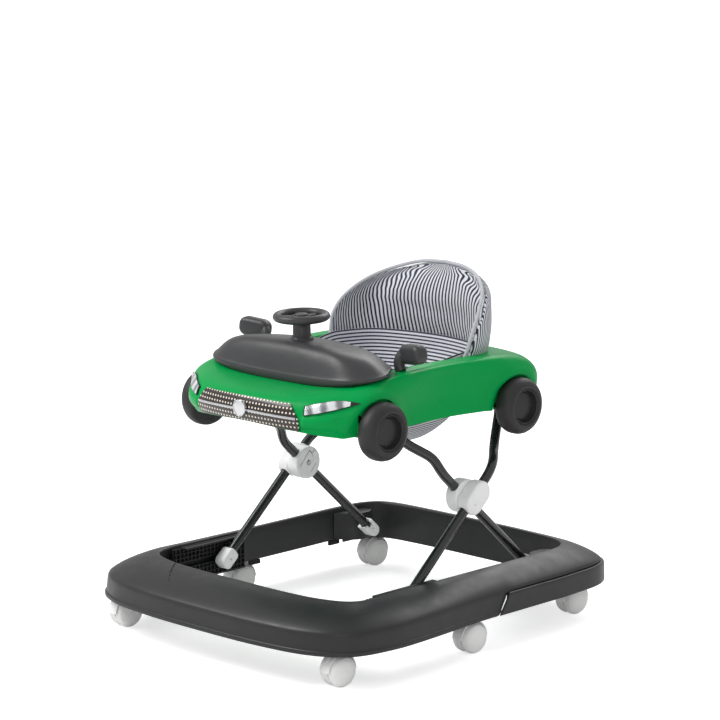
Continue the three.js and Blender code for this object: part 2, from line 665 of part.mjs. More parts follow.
function headlight() {
  const low = (share) => 1.34 + 0.52 * share;
  const high = (share) => 1.72 + 0.14 * share + 0.16 * Math.sin(Math.PI * share);
  const top = (share) => Math.max(high(share), low(share) + HEADLIGHT.leastHeight);
  const ends = [stationsAround(HEADLIGHT.from), stationsAround(HEADLIGHT.to)];
  return patchOnBody(ends, 12, low, top, HEADLIGHT.thickness);
}

const GRILLE = { reach: 1.18, low: 0.14, height: 1.76, thickness: 1.2 };

function grille() {
  const reach = stationsAround(GRILLE.reach);
  const edge = (share) => Math.min(1, 5 * Math.min(share, 1 - share) + 0.5);
  const top = (share) => GRILLE.low + GRILLE.height * edge(share);
  return patchOnBody([-reach, reach], 14, () => GRILLE.low, top, GRILLE.thickness);
}

const BADGE = { radius: 13.5, thickness: 2.4, y: -259.4, z: 394, lean: 3 };

function badge() {
  const disc = new THREE.CylinderGeometry(BADGE.radius, BADGE.radius, BADGE.thickness, 28);
  return disc.rotateX(THREE.MathUtils.degToRad(BADGE.lean)).translate(0, BADGE.y, BADGE.z);
}

// The hood over the bonnet: a low dome with a rolled lower edge.
const HOOD_RIM = [
  [0, -176, 428.5], [84, -176, 431], [146, -168, 437], [176, -134, 443.5], [166, -98, 449],
  [132, -66, 451], [70, -50, 452], [0, -47, 453],
];
const HOOD = {
  middleY: -112,
  topZ: 483,
  stations: 26,
  wall: 3,
  rolls: [[0, 1], [0.1, 1.035], [0.24, 1.03], [0.52, 0.94], [0.78, 0.82], [0.94, 0.66], [1, 0.3]],
};

function hoodRows() {
  const rim = loopCurve(HOOD_RIM);
  const { middleY, topZ } = HOOD;
  return HOOD.rolls.map(([height, spread]) => Array.from({ length: HOOD.stations }, (_, i) => {
    const edge = rim.getPoint(i / HOOD.stations);
    const [x, y] = [edge.x * spread, middleY + (edge.y - middleY) * spread];
    return new THREE.Vector3(x, y, edge.z + (topZ - edge.z) * height);
  }));
}

function hoodShell() {
  const rows = hoodRows();
  return skin([...offsetRows(rows, -HOOD.wall).reverse(), ...rows], false);
}

function addCar() {
  addPart('car_body', carBody(), 'bodyGreen');
  addPart('hood_tray', hoodShell(), 'hoodGrey');
  addPart('grille', grille(), 'grille');
  addPart('nose_badge', badge(), 'silver');
  SIDES.forEach(([side, sign]) => {
    addPart(`headlight_${side}`, onSide(headlight(), sign), 'lamp');
    addPart(`mirror_${side}`, onSide(mirror(), sign), 'hoodGrey');
    Object.entries(TOY_WHEEL.places).forEach(([end, [y, z]]) => {
      addPart(`toy_wheel_${end}_${side}`, onSide(toyWheel().translate(0, y, z), sign), 'tyreGrey');
    });
  });
}

// A mirror: an oval pod, cut flat towards the front, on a curved stem beside the hood.
function mirror() {
  const pod = new THREE.SphereGeometry(1, 12, 6).scale(28, 13, 16.5).rotateZ(-0.25).translate(181, -62, 478);
  const flatFace = boxBetween([140, 230], [-100, -70], [440, 500]);
  const stem = new THREE.ExtrudeGeometry(roundedOutline(9, 12, 3), {
    extrudePath: new THREE.QuadraticBezierCurve3(new THREE.Vector3(159, -64, 448.5),
      new THREE.Vector3(150, -66, 462), new THREE.Vector3(166, -60, 476)),
    steps: 5,
    curveSegments: 2,
    bevelEnabled: false,
  });
  return join(cut(pod, flatFace), stem);
}

function toyWheel() {
  const { radius: r, width: w, innerX: x } = TOY_WHEEL;
  return turnedAlongX([
    [STUB_RADIUS + 0.4, x], [r - 9, x], [r - 2, x + 4], [r, x + 11], [r, x + 22], [r - 4, x + w - 4],
    [r - 11, x + w], [30.5, x + w - 1.5], [28.5, x + w - 8], [0, x + w - 8], [0, x + 19],
    [STUB_RADIUS + 0.4, x + 19], [STUB_RADIUS + 0.4, x],
  ], 18);
}

// Steering wheel

function tiltSteering(geometry) {
  const tilt = THREE.MathUtils.degToRad(STEERING.tilt);
  return geometry.rotateX(tilt).translate(0, STEERING.y, STEERING.rimZ);
}

function steeringWheel() {
  const { rimRadius, rimThickness } = STEERING;
  const rim = new THREE.TorusGeometry(rimRadius, rimThickness, 7, 22);
  const middle = rodAlongZ(15, [-11, 2], [0, 0], 16);
  const bore = rodAlongZ(11.4, [-3, 8], [0, 0], 14);
  const socket = rodAlongZ(7, [-20, -6], [0, 0], 12);
  const spokes = [90, 210, 330].map((angle) => (
    box([28, 12, 7], [rimRadius / 2 + 6, 0, -3]).rotateZ(THREE.MathUtils.degToRad(angle))));
  return tiltSteering(cut(join(rim, middle, ...spokes), bore, socket));
}

function steeringColumn() {
  const shaft = rodAlongZ(15.5, [-40, -11.5], [0, 0], 24);
  const collar = rodAlongZ(19, [-44, -31], [0, 0], 24);
  const spigot = rodAlongZ(6.6, [-30, -6.4], [0, 0], 16);
  return cut(tiltSteering(join(shaft, collar, spigot)), skin(hoodRows(), false).translate(0, 0, GAP));
}

function hornButton() {
  return tiltSteering(rodAlongZ(11, [-1, 4.5], [0, 0], 20));
}

function addSteering() {
  addPart('steering_wheel', steeringWheel(), 'hoodGrey');
  addPart('steering_column', steeringColumn(), 'hoodGrey');
  addPart('horn_button', hornButton(), 'hoodGrey');
}

// Seat

// The backrest rises as a hoop from the deck, leans back, and wraps forward at both sides.
// Each level gives [height, half width, y of the middle, y of the front edge].
const BACKREST_LEVELS = [
  [459, 151, 204, 103], [476, 156, 206, 108], [492, 156, 207, 117], [507, 152, 208, 128],
  [522, 144, 209, 143], [537, 131, 211, 162], [551, 111, 213, 182], [564, 82, 215, 202],
  [573, 46, 217, 213],
];
const BACKREST = { thickness: 18, columns: 16, squareness: 0.8, sideShare: 0.55 };

function backrest() {
  const { columns, squareness, thickness } = BACKREST;
  const level = ([z, half, middleY, edgeY], outwards) => Array.from({ length: columns + 1 }, (_, i) => {
    const angle = ((2 * i) / columns - 1) * (Math.PI / 2);
    const across = Math.sign(angle) * Math.abs(Math.sin(angle)) ** squareness;
    const deep = Math.max(Math.cos(angle), 0) ** squareness;
    const x = (half + outwards * BACKREST.sideShare) * across;
    return new THREE.Vector3(x, edgeY + (middleY + outwards - edgeY) * deep, z);
  });
  const face = (outwards) => BACKREST_LEVELS.map((values) => level(values, outwards));
  return slab(face(0), face(thickness));
}

// The bucket of the seat hangs in the cockpit, with a hole for each leg.
const POUCH_RIM = [[0, -36], [70, -36], [118, -28], [138, 2], [142, 50], [139, 112], [104, 168], [0, 182]];
const POUCH = { rimZ: 444, bottomZ: 300, middleY: 66, wall: 5 };
const POUCH_LEVELS = [[0, 1], [0.3, 0.97], [0.58, 0.88], [0.8, 0.72], [0.94, 0.48], [1, 0.2]];

function pouch() {
  const rim = loopCurve(POUCH_RIM);
  const count = 24;
  const row = ([depth, spread], lift, shrink) => Array.from({ length: count }, (_, i) => {
    const edge = rim.getPoint(i / count);
    const scale = spread * shrink;
    const z = POUCH.rimZ + (POUCH.bottomZ - POUCH.rimZ) * depth + lift * depth;
    return new THREE.Vector3(edge.x * scale, POUCH.middleY + (edge.y - POUCH.middleY) * scale, z);
  });
  const outside = POUCH_LEVELS.map((level) => row(level, 0, 1)).reverse();
  const inside = POUCH_LEVELS.map((level) => row(level, POUCH.wall, 0.955));
  const bucket = skin([...outside, ...inside], false);
  const legHoles = [-1, 1].map((side) => (
    new THREE.CylinderGeometry(44, 44, 130, 20).translate(side * 62, -50, 362)));
  return cut(bucket, ...legHoles);
}

function addSeat() {
  addPart('seat_backrest', backrest(), 'fabric');
  addPart('seat_pouch', pouch(), 'fabric');
}

addBase();
addCasters();
addFrame();
addCar();
addSteering();
addSeat();

export default walker;
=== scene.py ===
"""A baby walker shaped like a toy car, on a folding scissor frame over a wheeled base ring.

Every visible piece is built here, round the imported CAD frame, in the frame's own coordinates:
+Z up, the front towards -Y, the child's left hand towards +X. Lengths below are in millimetres,
and become metres where a mesh is made.
"""

import math

import bmesh
import bpy
import numpy as np
from mathutils import Matrix, Vector


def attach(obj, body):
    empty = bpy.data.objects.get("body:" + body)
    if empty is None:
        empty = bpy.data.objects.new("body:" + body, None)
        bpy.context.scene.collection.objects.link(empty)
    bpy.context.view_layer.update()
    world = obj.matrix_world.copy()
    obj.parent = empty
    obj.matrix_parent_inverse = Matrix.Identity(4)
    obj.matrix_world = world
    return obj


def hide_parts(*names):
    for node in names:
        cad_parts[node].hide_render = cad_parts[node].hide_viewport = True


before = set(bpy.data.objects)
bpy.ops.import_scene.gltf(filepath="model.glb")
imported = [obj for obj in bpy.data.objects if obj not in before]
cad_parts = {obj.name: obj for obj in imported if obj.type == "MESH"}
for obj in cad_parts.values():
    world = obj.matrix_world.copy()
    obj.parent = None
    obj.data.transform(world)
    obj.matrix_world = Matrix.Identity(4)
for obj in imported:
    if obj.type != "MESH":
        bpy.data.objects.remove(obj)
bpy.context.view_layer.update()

MM = 0.001
SIDES = {"left": 1, "right": -1}

# Casters
WHEEL_RADIUS = 25
TRAIL = 14
CASTER_TURN = math.radians(-5)
CASTER_PLACES = {"front": (244, -288), "middle": (265, -11), "rear": (230, 281)}

# Base ring: half outlines from the middle of the front to the middle of the back
RING_OUTER = [
    (0, -356), (120, -353), (221, -337), (281, -297), (300, -224), (299, -140), (288, -12),
    (286, 110), (284, 215), (272, 303), (228, 344.5), (110, 353.3), (0, 353.3),
]
RING_INNER = [
    (0, -264), (85, -264), (160, -258), (213, -239), (230, -206), (229, -150), (229, -12),
    (229, 110), (229, 205), (222, 254), (190, 282), (95, 290), (0, 291),
]
RING_STATIONS = 288
SKIRT_TOP = 88
SEAM = {"y": 37, "z": 54, "slope": math.radians(35)}

# Scissor frame, seen from the side as (y, z)
PIVOT = (62, 229)
ARM = (160, 143)
LEAN = math.atan2(*ARM)
FRONT_FOOT = (PIVOT[0] - ARM[0], PIVOT[1] - ARM[1])
REAR_FOOT = (PIVOT[0] + ARM[0], PIVOT[1] - ARM[1])
CROSSBAR = {"reach": 144, "z": 385, "half_width": 124}
KNEE_DISTANCE = 64
# Above the knee each leg has two more bends: (x, distance from the pivot along Y, z)
FRONT_LEG_BENDS = [(166, 93, 297), (147, 128, 351)]
REAR_LEG_BENDS = [(174, 62, 299), (150, 112, 331)]
FRONT_LEG_X = 204
REAR_LEG_X = 182
TUBE_RADIUS = 8
TUBE_BEND = 26
HUB_SPLIT_X = 193
HUB_HALF_GAP = 0.15
PIN_RADIUS = 4.5
HUB_DISC = {"radius": 28, "thickness": 24}
HUB_SLOTS = [((-17, 17), (12.2, 13.8)), ((-9, 9), (-15.8, -14.4)), ((15.6, 17.2), (-2, 13))]
HUB_SLOT_DEPTH = 2.4

# Car body
TOY_WHEEL = {"radius": 46.6, "width": 34, "inner_x": 185}
TOY_WHEEL_PLACES = {"front": (-144, 368), "rear": (176, 363)}
BODY_WALL = 3
BODY_STATIONS = 288
BODY_ROWS_PER_LINE = 8
# From nose to tail: nose, grille end, front corner, front wheel, waist, rear wheel, rear corner, tail
BODY_LINES = [
    [(0, -247, 372), (96, -238, 368), (158, -204, 361), (183, -148, 362), (184, 15, 364),
     (184, 176, 360), (158, 246, 374), (0, 268, 380)],
    [(0, -253, 390), (98, -244, 388), (162, -214, 386), (189, -152, 388), (179, 15, 392),
     (190, 176, 388), (170, 251, 394), (0, 277, 397)],
    [(0, -245, 413), (95, -236, 412), (159, -203, 416), (193, -148, 420), (180, 15, 430),
     (196, 174, 420), (169, 243, 418), (0, 270, 416)],
    [(0, -218, 423), (89, -209, 424), (146, -178, 431), (180, -126, 440), (181, 15, 446),
     (186, 160, 443), (156, 225, 436), (0, 249, 434)],
    [(0, -140, 429), (84, -134, 431), (138, -110, 436), (164, -76, 444), (165, 20, 448),
     (167, 132, 448), (132, 202, 444), (0, 226, 441)],
    [(0, -46, 436), (78, -46, 438), (126, -40, 440), (148, -12, 446), (151, 40, 448),
     (150, 112, 447), (112, 184, 443), (0, 204, 441)],
    [(0, -44, 416), (78, -44, 416), (125, -38, 418), (146, -11, 424), (149, 40, 428),
     (148, 111, 427), (110, 181, 423), (0, 201, 421)],
]
# Swellings of the skin: round the wheel arches, and under each headlight
ARCH_FLARE = {"height": 3.6, "radius": 55, "width": 8}
FACET_HEIGHT = 3.2
ARCH_WALL = {"radius": 56, "end_reach": 38}
PATCH_LIFT = 2.0
PATCH_SUNK = 1.2
HEADLIGHT_ENDS = (1.29, 2.62)
LAMP_MARGIN = 0.03
GRILLE_REACH = 1.18

HOOD_RIM = [
    (0, -176, 428.5), (84, -176, 431), (146, -168, 437), (176, -134, 443.5), (166, -98, 449),
    (132, -66, 451), (70, -50, 452), (0, -47, 453),
]
HOOD_WALL = 2.6
HOOD_TOP = {"y": -112, "z": 485, "slope": 0.1, "crown": 9, "half_width": 165}

STEERING = {"y": -122, "rim_z": 523, "rim_radius": 39, "rim_thickness": 7, "tilt": math.radians(2)}

# Seat: the backrest's levels as (height, half width, y of the middle, y of the front edge),
# and the rim of the pouch
BACKREST_LEVELS = [
    (442, 149, 207, 96), (459, 153, 205, 102), (476, 155, 202, 107), (492, 154, 200, 116),
    (507, 150, 196, 128), (521, 142, 196, 143), (535, 130, 200, 162), (548, 111, 206, 182),
    (560, 82, 214, 202), (569, 46, 217, 213), (572, 0, 218, 217),
]
BACKREST_THICKNESS = 16
BACKREST_SQUARENESS = 0.88
POUCH_RIM = [(0, -36), (70, -36), (118, -28), (139, 2), (144, 50), (143, 112), (110, 173), (0, 198)]
POUCH = {"rim_z": 444, "bottom_z": 300, "middle_y": 66, "radius": 140}
LEG_HOLE = {"x": 62, "z": 362, "radius": 45}

# Studio, in metres: the room and the glowing floor fade into each other behind the object
ROOM_LIGHT = 0.62
ROOM_SEEN = 0.97
FLOOR_GLOW = 0.55
FLOOR_REACH = 30000
LIGHTS = {
    "key": {"place": (-1.35, -1.75, 2.5), "size": (1.6, 1.6), "power": 55},
    "back": {"place": (-0.6, 2.4, 2.2), "size": (2.4, 1.2), "power": 30},
    "front": {"place": (2.4, -2.6, 1.6), "size": (1.6, 1.2), "power": 7},
}
LIGHTS_TARGET = (0, 0, 0.3)
CAMERA = {"lens": 148.02, "place": (3.3001, -3.3910, 1.3178), "target": (-0.0460, 0.0594, 0.4218)}

# Shape helpers


def mirrored_loop(half):
    """A closed loop of points from its right-hand half, whose ends lie on the middle plane."""
    other = [(-p[0], *p[1:]) for p in reversed(half[1:-1])]
    return np.array([*half, *other], float)


def curve_through(points, shares, closed=True):
    """Points of a smooth curve through `points`, at shares of the way from the first to the last."""
    points = np.asarray(points, float)
    shares = np.asarray(shares, float)
    if closed:
        place = shares * len(points)
        first = np.floor(place).astype(int)
        a, b, c, d = (points[(first + k) % len(points)] for k in (-1, 0, 1, 2))
    else:
        place = shares * (len(points) - 1)
        first = np.clip(np.floor(place).astype(int), 0, len(points) - 2)
        longer = np.vstack([2 * points[0] - points[1], points, 2 * points[-1] - points[-2]])
        a, b, c, d = (longer[first + k] for k in range(4))
    w = (place - first)[:, None]
    return b + 0.5 * w * ((c - a) + w * ((2 * a - 5 * b + 4 * c - d) + w * (3 * (b - c) + d - a)))


def smooth_step(value, low=0.0, high=1.0):
    share = np.clip((value - low) / (high - low), 0, 1)
    return share * share * (3 - 2 * share)


def grid_faces(rows, columns, wrap_rows=False, wrap_columns=True):
    """Quads of a grid of points stored row by row."""
    faces = []
    for r in range(rows if wrap_rows else rows - 1):
        here, above = r * columns, ((r + 1) % rows) * columns
        for c in range(columns if wrap_columns else columns - 1):
            right = (c + 1) % columns
            faces.append((here + c, here + right, above + right, above + c))
    return faces


def grid_normals(rows):
    """Unit normals of a grid of points whose rows are closed loops."""
    along = np.roll(rows, -1, axis=1) - np.roll(rows, 1, axis=1)
    upward = np.gradient(rows, axis=0)
    normal = np.cross(along, upward)
    return normal / np.maximum(np.linalg.norm(normal, axis=2, keepdims=True), 1e-9)


def new_object(name, points, faces):
    """A mesh object from points in millimetres, with its faces turned outwards."""
    data = bpy.data.meshes.new(name)
    data.from_pydata([tuple(p * MM for p in point) for point in points], [], faces)
    solid = bmesh.new()
    solid.from_mesh(data)
    bmesh.ops.remove_doubles(solid, verts=solid.verts, dist=2e-6)
    bmesh.ops.recalc_face_normals(solid, faces=solid.faces)
    solid.to_mesh(data)
    solid.free()
    made = bpy.data.objects.new(name, data)
    bpy.context.scene.collection.objects.link(made)
    return made


def closed_loft(name, rows):
    """A solid between a stack of closed loops, with flat ends."""
    rows = [np.asarray(row, float) for row in rows]
    columns = len(rows[0])
    faces = grid_faces(len(rows), columns)
    faces.append(tuple(range(columns)))
    last = (len(rows) - 1) * columns
    faces.append(tuple(range(last, last + columns)))
    return new_object(name, np.vstack(rows), faces)


def ring_loft(name, rows):
    """A solid between loops where the last loop joins the first again."""
    rows = np.asarray(rows, float)
    faces = grid_faces(rows.shape[0], rows.shape[1], wrap_rows=True)
    return new_object(name, rows.reshape(-1, 3), faces)


def apply_modifiers(obj):
    """Puts the evaluated mesh in place of the modifiers."""
    graph = bpy.context.evaluated_depsgraph_get()
    made = bpy.data.meshes.new_from_object(obj.evaluated_get(graph))
    old = obj.data
    obj.modifiers.clear()
    obj.data = made
    bpy.data.meshes.remove(old)
    return obj


def combine(obj, tools, operation):
    """Boolean of one object with each tool in turn; the tools are used up."""
    for tool in tools:
        step = obj.modifiers.new("combine", "BOOLEAN")
        step.operation = operation
        step.solver = "EXACT"
        step.object = tool
    apply_modifiers(obj)
    for tool in tools:
        bpy.data.objects.remove(tool)
    return obj


def cut(obj, *tools):
    return combine(obj, tools, "DIFFERENCE")


def overlap(obj, *tools):
    return combine(obj, tools, "INTERSECT")


def joined(name, *objects):
    """One mesh object holding several separate closed solids."""
    whole = bmesh.new()
    for obj in objects:
        obj.data.transform(obj.matrix_world)
        whole.from_mesh(obj.data)
    data = bpy.data.meshes.new(name)
    whole.to_mesh(data)
    whole.free()
    for obj in objects:
        bpy.data.objects.remove(obj)
    made = bpy.data.objects.new(name, data)
    bpy.context.scene.collection.objects.link(made)
    return made


def rounded(obj, width, segments=2, angle=35):
    """Rounds the edges that are sharper than `angle`, and shades the rest smooth."""
    step = obj.modifiers.new("round", "BEVEL")
    step.width = width * MM
    step.segments = segments
    step.limit_method = "ANGLE"
    step.angle_limit = math.radians(angle)
    step.use_clamp_overlap = True
    apply_modifiers(obj)
    return smoothed(obj, angle)


def smoothed(obj, angle=35):
    obj.data.polygons.foreach_set("use_smooth", [True] * len(obj.data.polygons))
    obj.data.set_sharp_from_angle(angle=math.radians(angle))
    return obj


def mirror_x(obj):
    """Turns a left-hand piece into the right-hand one."""
    obj.data.transform(Matrix.Scale(-1, 4, (1, 0, 0)))
    obj.data.flip_normals()
    return obj


def on_side(obj, sign):
    """The left-hand piece as it is, or turned into the right-hand one."""
    return obj if sign > 0 else mirror_x(obj)


def moved(obj, matrix):
    obj.data.transform(matrix)
    return obj


def shift(x, y, z):
    return Matrix.Translation((x * MM, y * MM, z * MM))


def box(x, y, z, name="tool"):
    """A block between two values on each axis."""
    corners = [(a, b, c) for a in x for b in y for c in z]
    faces = [(0, 1, 3, 2), (4, 6, 7, 5), (0, 4, 5, 1), (2, 3, 7, 6), (0, 2, 6, 4), (1, 5, 7, 3)]
    return new_object(name, corners, faces)


def turned(name, profile, segments=64):
    """A turned solid about X; the profile is a list of (radius, x) from the axis back to the axis."""
    angles = np.linspace(0, 2 * math.pi, segments, endpoint=False)
    rows = [[(x, r * math.cos(a), r * math.sin(a)) for a in angles] for r, x in profile[1:-1]]
    points = [p for row in rows for p in row]
    faces = grid_faces(len(rows), segments)
    first, last = len(points), len(points) + 1
    points += [(profile[0][1], 0, 0), (profile[-1][1], 0, 0)]
    top = (len(rows) - 1) * segments
    for i in range(segments):
        j = (i + 1) % segments
        faces.append((first, j, i))
        faces.append((last, top + i, top + j))
    return new_object(name, points, faces)


def rod(radius, x, centre, segments=32, name="tool"):
    """A cylinder along X between two values of x, at (y, z)."""
    profile = [(0, x[0]), (radius, x[0]), (radius, x[1]), (0, x[1])]
    return moved(turned(name, profile, segments), shift(0, *centre))


def arc(centre, radius, start, end, steps):
    angles = np.radians(np.linspace(start, end, steps))
    return [(centre[0] + radius * math.cos(a), centre[1] + radius * math.sin(a)) for a in angles]


def rounded_box_outline(width, height, radius, steps=8):
    w, h = width / 2 - radius, height / 2 - radius
    corners = [((w, h), 0), ((-w, h), 90), ((-w, -h), 180), ((w, -h), 270)]
    return [p for centre, start in corners for p in arc(centre, radius, start, start + 90, steps)]


def inset_outline(outline, distance):
    """The outline moved inwards along its own normals; the outline runs anticlockwise."""
    points = np.asarray(outline, float)
    before = points - np.roll(points, 1, axis=0)
    after = np.roll(points, -1, axis=0) - points
    before /= np.maximum(np.linalg.norm(before, axis=1, keepdims=True), 1e-9)
    after /= np.maximum(np.linalg.norm(after, axis=1, keepdims=True), 1e-9)
    along = before + after
    along /= np.maximum(np.linalg.norm(along, axis=1, keepdims=True), 1e-9)
    inward = np.column_stack([-along[:, 1], along[:, 0]])
    return points + inward * distance


def plate(name, outline, x, edge, steps=4):
    """A flat piece whose outline lies in the side view as (y, z), with rounded edges on both faces."""
    low, high = x
    levels = []
    for k in range(steps + 1):
        angle = k / steps * math.pi / 2
        levels.append((low + edge * (1 - math.sin(angle)), edge * (1 - math.cos(angle))))
    near = [(level, inset) for level, inset in reversed(levels)]
    far = [(low + high - level, inset) for level, inset in levels]
    rows = []
    for level, inset in near + far:
        flat = inset_outline(outline, inset)
        rows.append([(level, y, z) for y, z in flat])
    return closed_loft(name, rows)


def sweep(name, path, outline):
    """A solid rod along a path; the outline is a list of (sideways, upwards) offsets."""
    path = np.asarray(path, float)
    tangents = np.gradient(path, axis=0)
    tangents /= np.linalg.norm(tangents, axis=1, keepdims=True)
    side = np.cross(tangents[0], (0.0, 0.0, 1.0))
    if np.linalg.norm(side) < 1e-3:
        side = np.array([1.0, 0.0, 0.0])
    side /= np.linalg.norm(side)
    rows = []
    for point, tangent in zip(path, tangents):
        side = side - tangent * (side @ tangent)
        side /= np.linalg.norm(side)
        up = np.cross(side, tangent)
        rows.append([point + side * a + up * b for a, b in outline])
    return closed_loft(name, rows)


def round_outline(radius, steps=24):
    return arc((0, 0), radius, 0, 360 * (1 - 1 / steps), steps)


# Materials


def material(name):
    """A new material and a helper that adds linked nodes to it."""
    made = bpy.data.materials.new(name)
    made.use_nodes = True
    tree = made.node_tree
    tree.nodes.clear()

    def add(kind, inputs=None, **settings):
        node = tree.nodes.new(kind)
        for key, value in settings.items():
            setattr(node, key, value)
        for key, value in (inputs or {}).items():
            if isinstance(value, bpy.types.NodeSocket):
                tree.links.new(value, node.inputs[key])
            else:
                node.inputs[key].default_value = value
        return node

    return made, add


def finished(add, shader):
    """Sends a shader to the material's output."""
    add("ShaderNodeOutputMaterial", {"Surface": shader.outputs[0]})


def colour(r, g, b):
    """A shader colour from an sRGB one in 0 to 255."""
    parts = [c / 255 for c in (r, g, b)]
    return tuple(c / 12.92 if c <= 0.04045 else ((c + 0.055) / 1.055) ** 2.4 for c in parts) + (1.0,)


def scaled(rgba, factor):
    return tuple(min(1.0, c * factor) for c in rgba[:3]) + (1.0,)


def noise(add, scale, detail=3.0, roughness=0.55):
    place = add("ShaderNodeTexCoord")
    return add("ShaderNodeTexNoise", {
        "Vector": place.outputs["Object"], "Scale": scale, "Detail": detail, "Roughness": roughness,
    })


def spread_over(add, value, low, high, out_low, out_high):
    return add("ShaderNodeMapRange", {
        "Value": value, "From Min": low, "From Max": high, "To Min": out_low, "To Max": out_high,
    })


def mixed(add, share, first, second):
    node = add("ShaderNodeMix", data_type="RGBA")
    tree = node.id_data
    for index, value in ((0, share), (6, first), (7, second)):
        if isinstance(value, bpy.types.NodeSocket):
            tree.links.new(value, node.inputs[index])
        else:
            node.inputs[index].default_value = value
    return node.outputs[2]


def plastic(name, base, rough, grain=0.12, grain_scale=1500, wear=0.35, coat=0.0, clouds=0.07, ior=1.48):
    """Moulded plastic: slow colour and gloss clouds, a fine spark-eroded grain, and paler rubbed edges."""
    made, add = material(name)
    slow = noise(add, 9, 4)
    shade = mixed(add, slow.outputs["Fac"], scaled(base, 1 - clouds), scaled(base, 1 + clouds))
    edges = add("ShaderNodeNewGeometry")
    rubbed = spread_over(add, edges.outputs["Pointiness"], 0.52, 0.62, 0.0, wear)
    shade = mixed(add, rubbed.outputs["Result"], shade, scaled(base, 1.5))
    smudges = noise(add, 38, 5, 0.65)
    gloss = spread_over(add, smudges.outputs["Fac"], 0.3, 0.7, rough - 0.05, rough + 0.07)
    fine = noise(add, grain_scale, 2)
    bump = add("ShaderNodeBump", {"Height": fine.outputs["Fac"], "Strength": grain, "Distance": 0.0004})
    shader = add("ShaderNodeBsdfPrincipled", {
        "Base Color": shade, "Roughness": gloss.outputs["Result"], "Normal": bump.outputs["Normal"],
        "Coat Weight": coat, "Coat Roughness": 0.08, "IOR": ior,
    })
    finished(add, shader)
    return made


def metal(name, base, rough, streak=(300, 300, 300)):
    """Plated or painted metal with fine streaks and small gloss changes."""
    made, add = material(name)
    place = add("ShaderNodeTexCoord")
    stretched = add("ShaderNodeMapping", {"Vector": place.outputs["Object"], "Scale": streak})
    fine = add("ShaderNodeTexNoise", {"Vector": stretched.outputs["Vector"], "Scale": 1.0, "Detail": 4.0})
    gloss = spread_over(add, fine.outputs["Fac"], 0.3, 0.7, rough - 0.06, rough + 0.08)
    shade = mixed(add, fine.outputs["Fac"], scaled(base, 0.9), scaled(base, 1.08))
    bump = add("ShaderNodeBump", {"Height": fine.outputs["Fac"], "Strength": 0.05, "Distance": 0.0003})
    shader = add("ShaderNodeBsdfPrincipled", {
        "Base Color": shade, "Roughness": gloss.outputs["Result"], "Normal": bump.outputs["Normal"],
        "Metallic": 1.0,
    })
    finished(add, shader)
    return made


def paint(name, base, rough):
    """Powder coat over a steel tube: glossy, with a slight orange peel."""
    made, add = material(name)
    peel = noise(add, 420, 2)
    smudges = noise(add, 30, 5, 0.65)
    gloss = spread_over(add, smudges.outputs["Fac"], 0.3, 0.7, rough - 0.06, rough + 0.08)
    shade = mixed(add, smudges.outputs["Fac"], scaled(base, 0.85), scaled(base, 1.2))
    bump = add("ShaderNodeBump", {"Height": peel.outputs["Fac"], "Strength": 0.06, "Distance": 0.0005})
    shader = add("ShaderNodeBsdfPrincipled", {
        "Base Color": shade, "Roughness": gloss.outputs["Result"], "Normal": bump.outputs["Normal"],
        "Coat Weight": 0.6, "Coat Roughness": 0.12,
    })
    finished(add, shader)
    return made


def wave_of(add, value, pitch):
    """A sine of a length in millimetres, from 0 to 1 over each pitch."""
    turn = add("ShaderNodeMath", {0: value, 1: 2 * math.pi / pitch}, operation="MULTIPLY")
    sine = add("ShaderNodeMath", {0: turn.outputs[0]}, operation="SINE")
    return add("ShaderNodeMath", {0: sine.outputs[0], 1: 0.5, 2: 0.5}, operation="MULTIPLY_ADD").outputs[0]


def own_place(add):
    """The piece's own coordinates, in millimetres, from the attributes across and along."""
    return [add("ShaderNodeAttribute", attribute_name=name).outputs["Fac"] for name in ("across", "along")]


def woven(name, light, dark, stripe_pitch=0.0, stripe_share=0.5, thread=1.1):
    """Plain-woven cotton, with stripes counted across it, and painted shade in the valleys between its
    threads.
    """
    made, add = material(name)
    across, along = own_place(add)
    slow = noise(add, 16, 4)
    shade = mixed(add, slow.outputs["Fac"], scaled(light, 0.94), scaled(light, 1.0))
    if stripe_pitch:
        ripple = wave_of(add, across, stripe_pitch)
        edge = math.cos(math.pi * stripe_share) * 0.5 + 0.5
        share = spread_over(add, ripple, edge - 0.09, edge + 0.09, 0.0, 1.0)
        ink = mixed(add, slow.outputs["Fac"], scaled(dark, 0.8), scaled(dark, 1.25))
        shade = mixed(add, share.outputs["Result"], shade, ink)
    warp = wave_of(add, across, thread)
    weft = wave_of(add, along, thread)
    crossing = add("ShaderNodeMath", {0: warp, 1: weft}, operation="MULTIPLY")
    fuzz = noise(add, 1800, 3, 0.7)
    threads = add("ShaderNodeMath", {0: fuzz.outputs["Fac"], 1: 0.5, 2: crossing.outputs[0]},
                  operation="MULTIPLY_ADD")
    # Painted shade: the colour is darker down in the valleys between the threads.
    valley_shade = spread_over(add, threads.outputs[0], 0.2, 1.0, 0.86, 1.0)
    valley_shaded_colour = add("ShaderNodeVectorMath", {0: shade, 1: valley_shade.outputs["Result"]}, operation="MULTIPLY")
    bump = add("ShaderNodeBump", {"Height": threads.outputs[0], "Strength": 0.5, "Distance": 0.0005})
    shader = add("ShaderNodeBsdfPrincipled", {
        "Base Color": valley_shaded_colour.outputs[0], "Roughness": 0.92, "Normal": bump.outputs["Normal"],
        "Sheen Weight": 0.25, "Sheen Roughness": 0.5,
    })
    finished(add, shader)
    return made


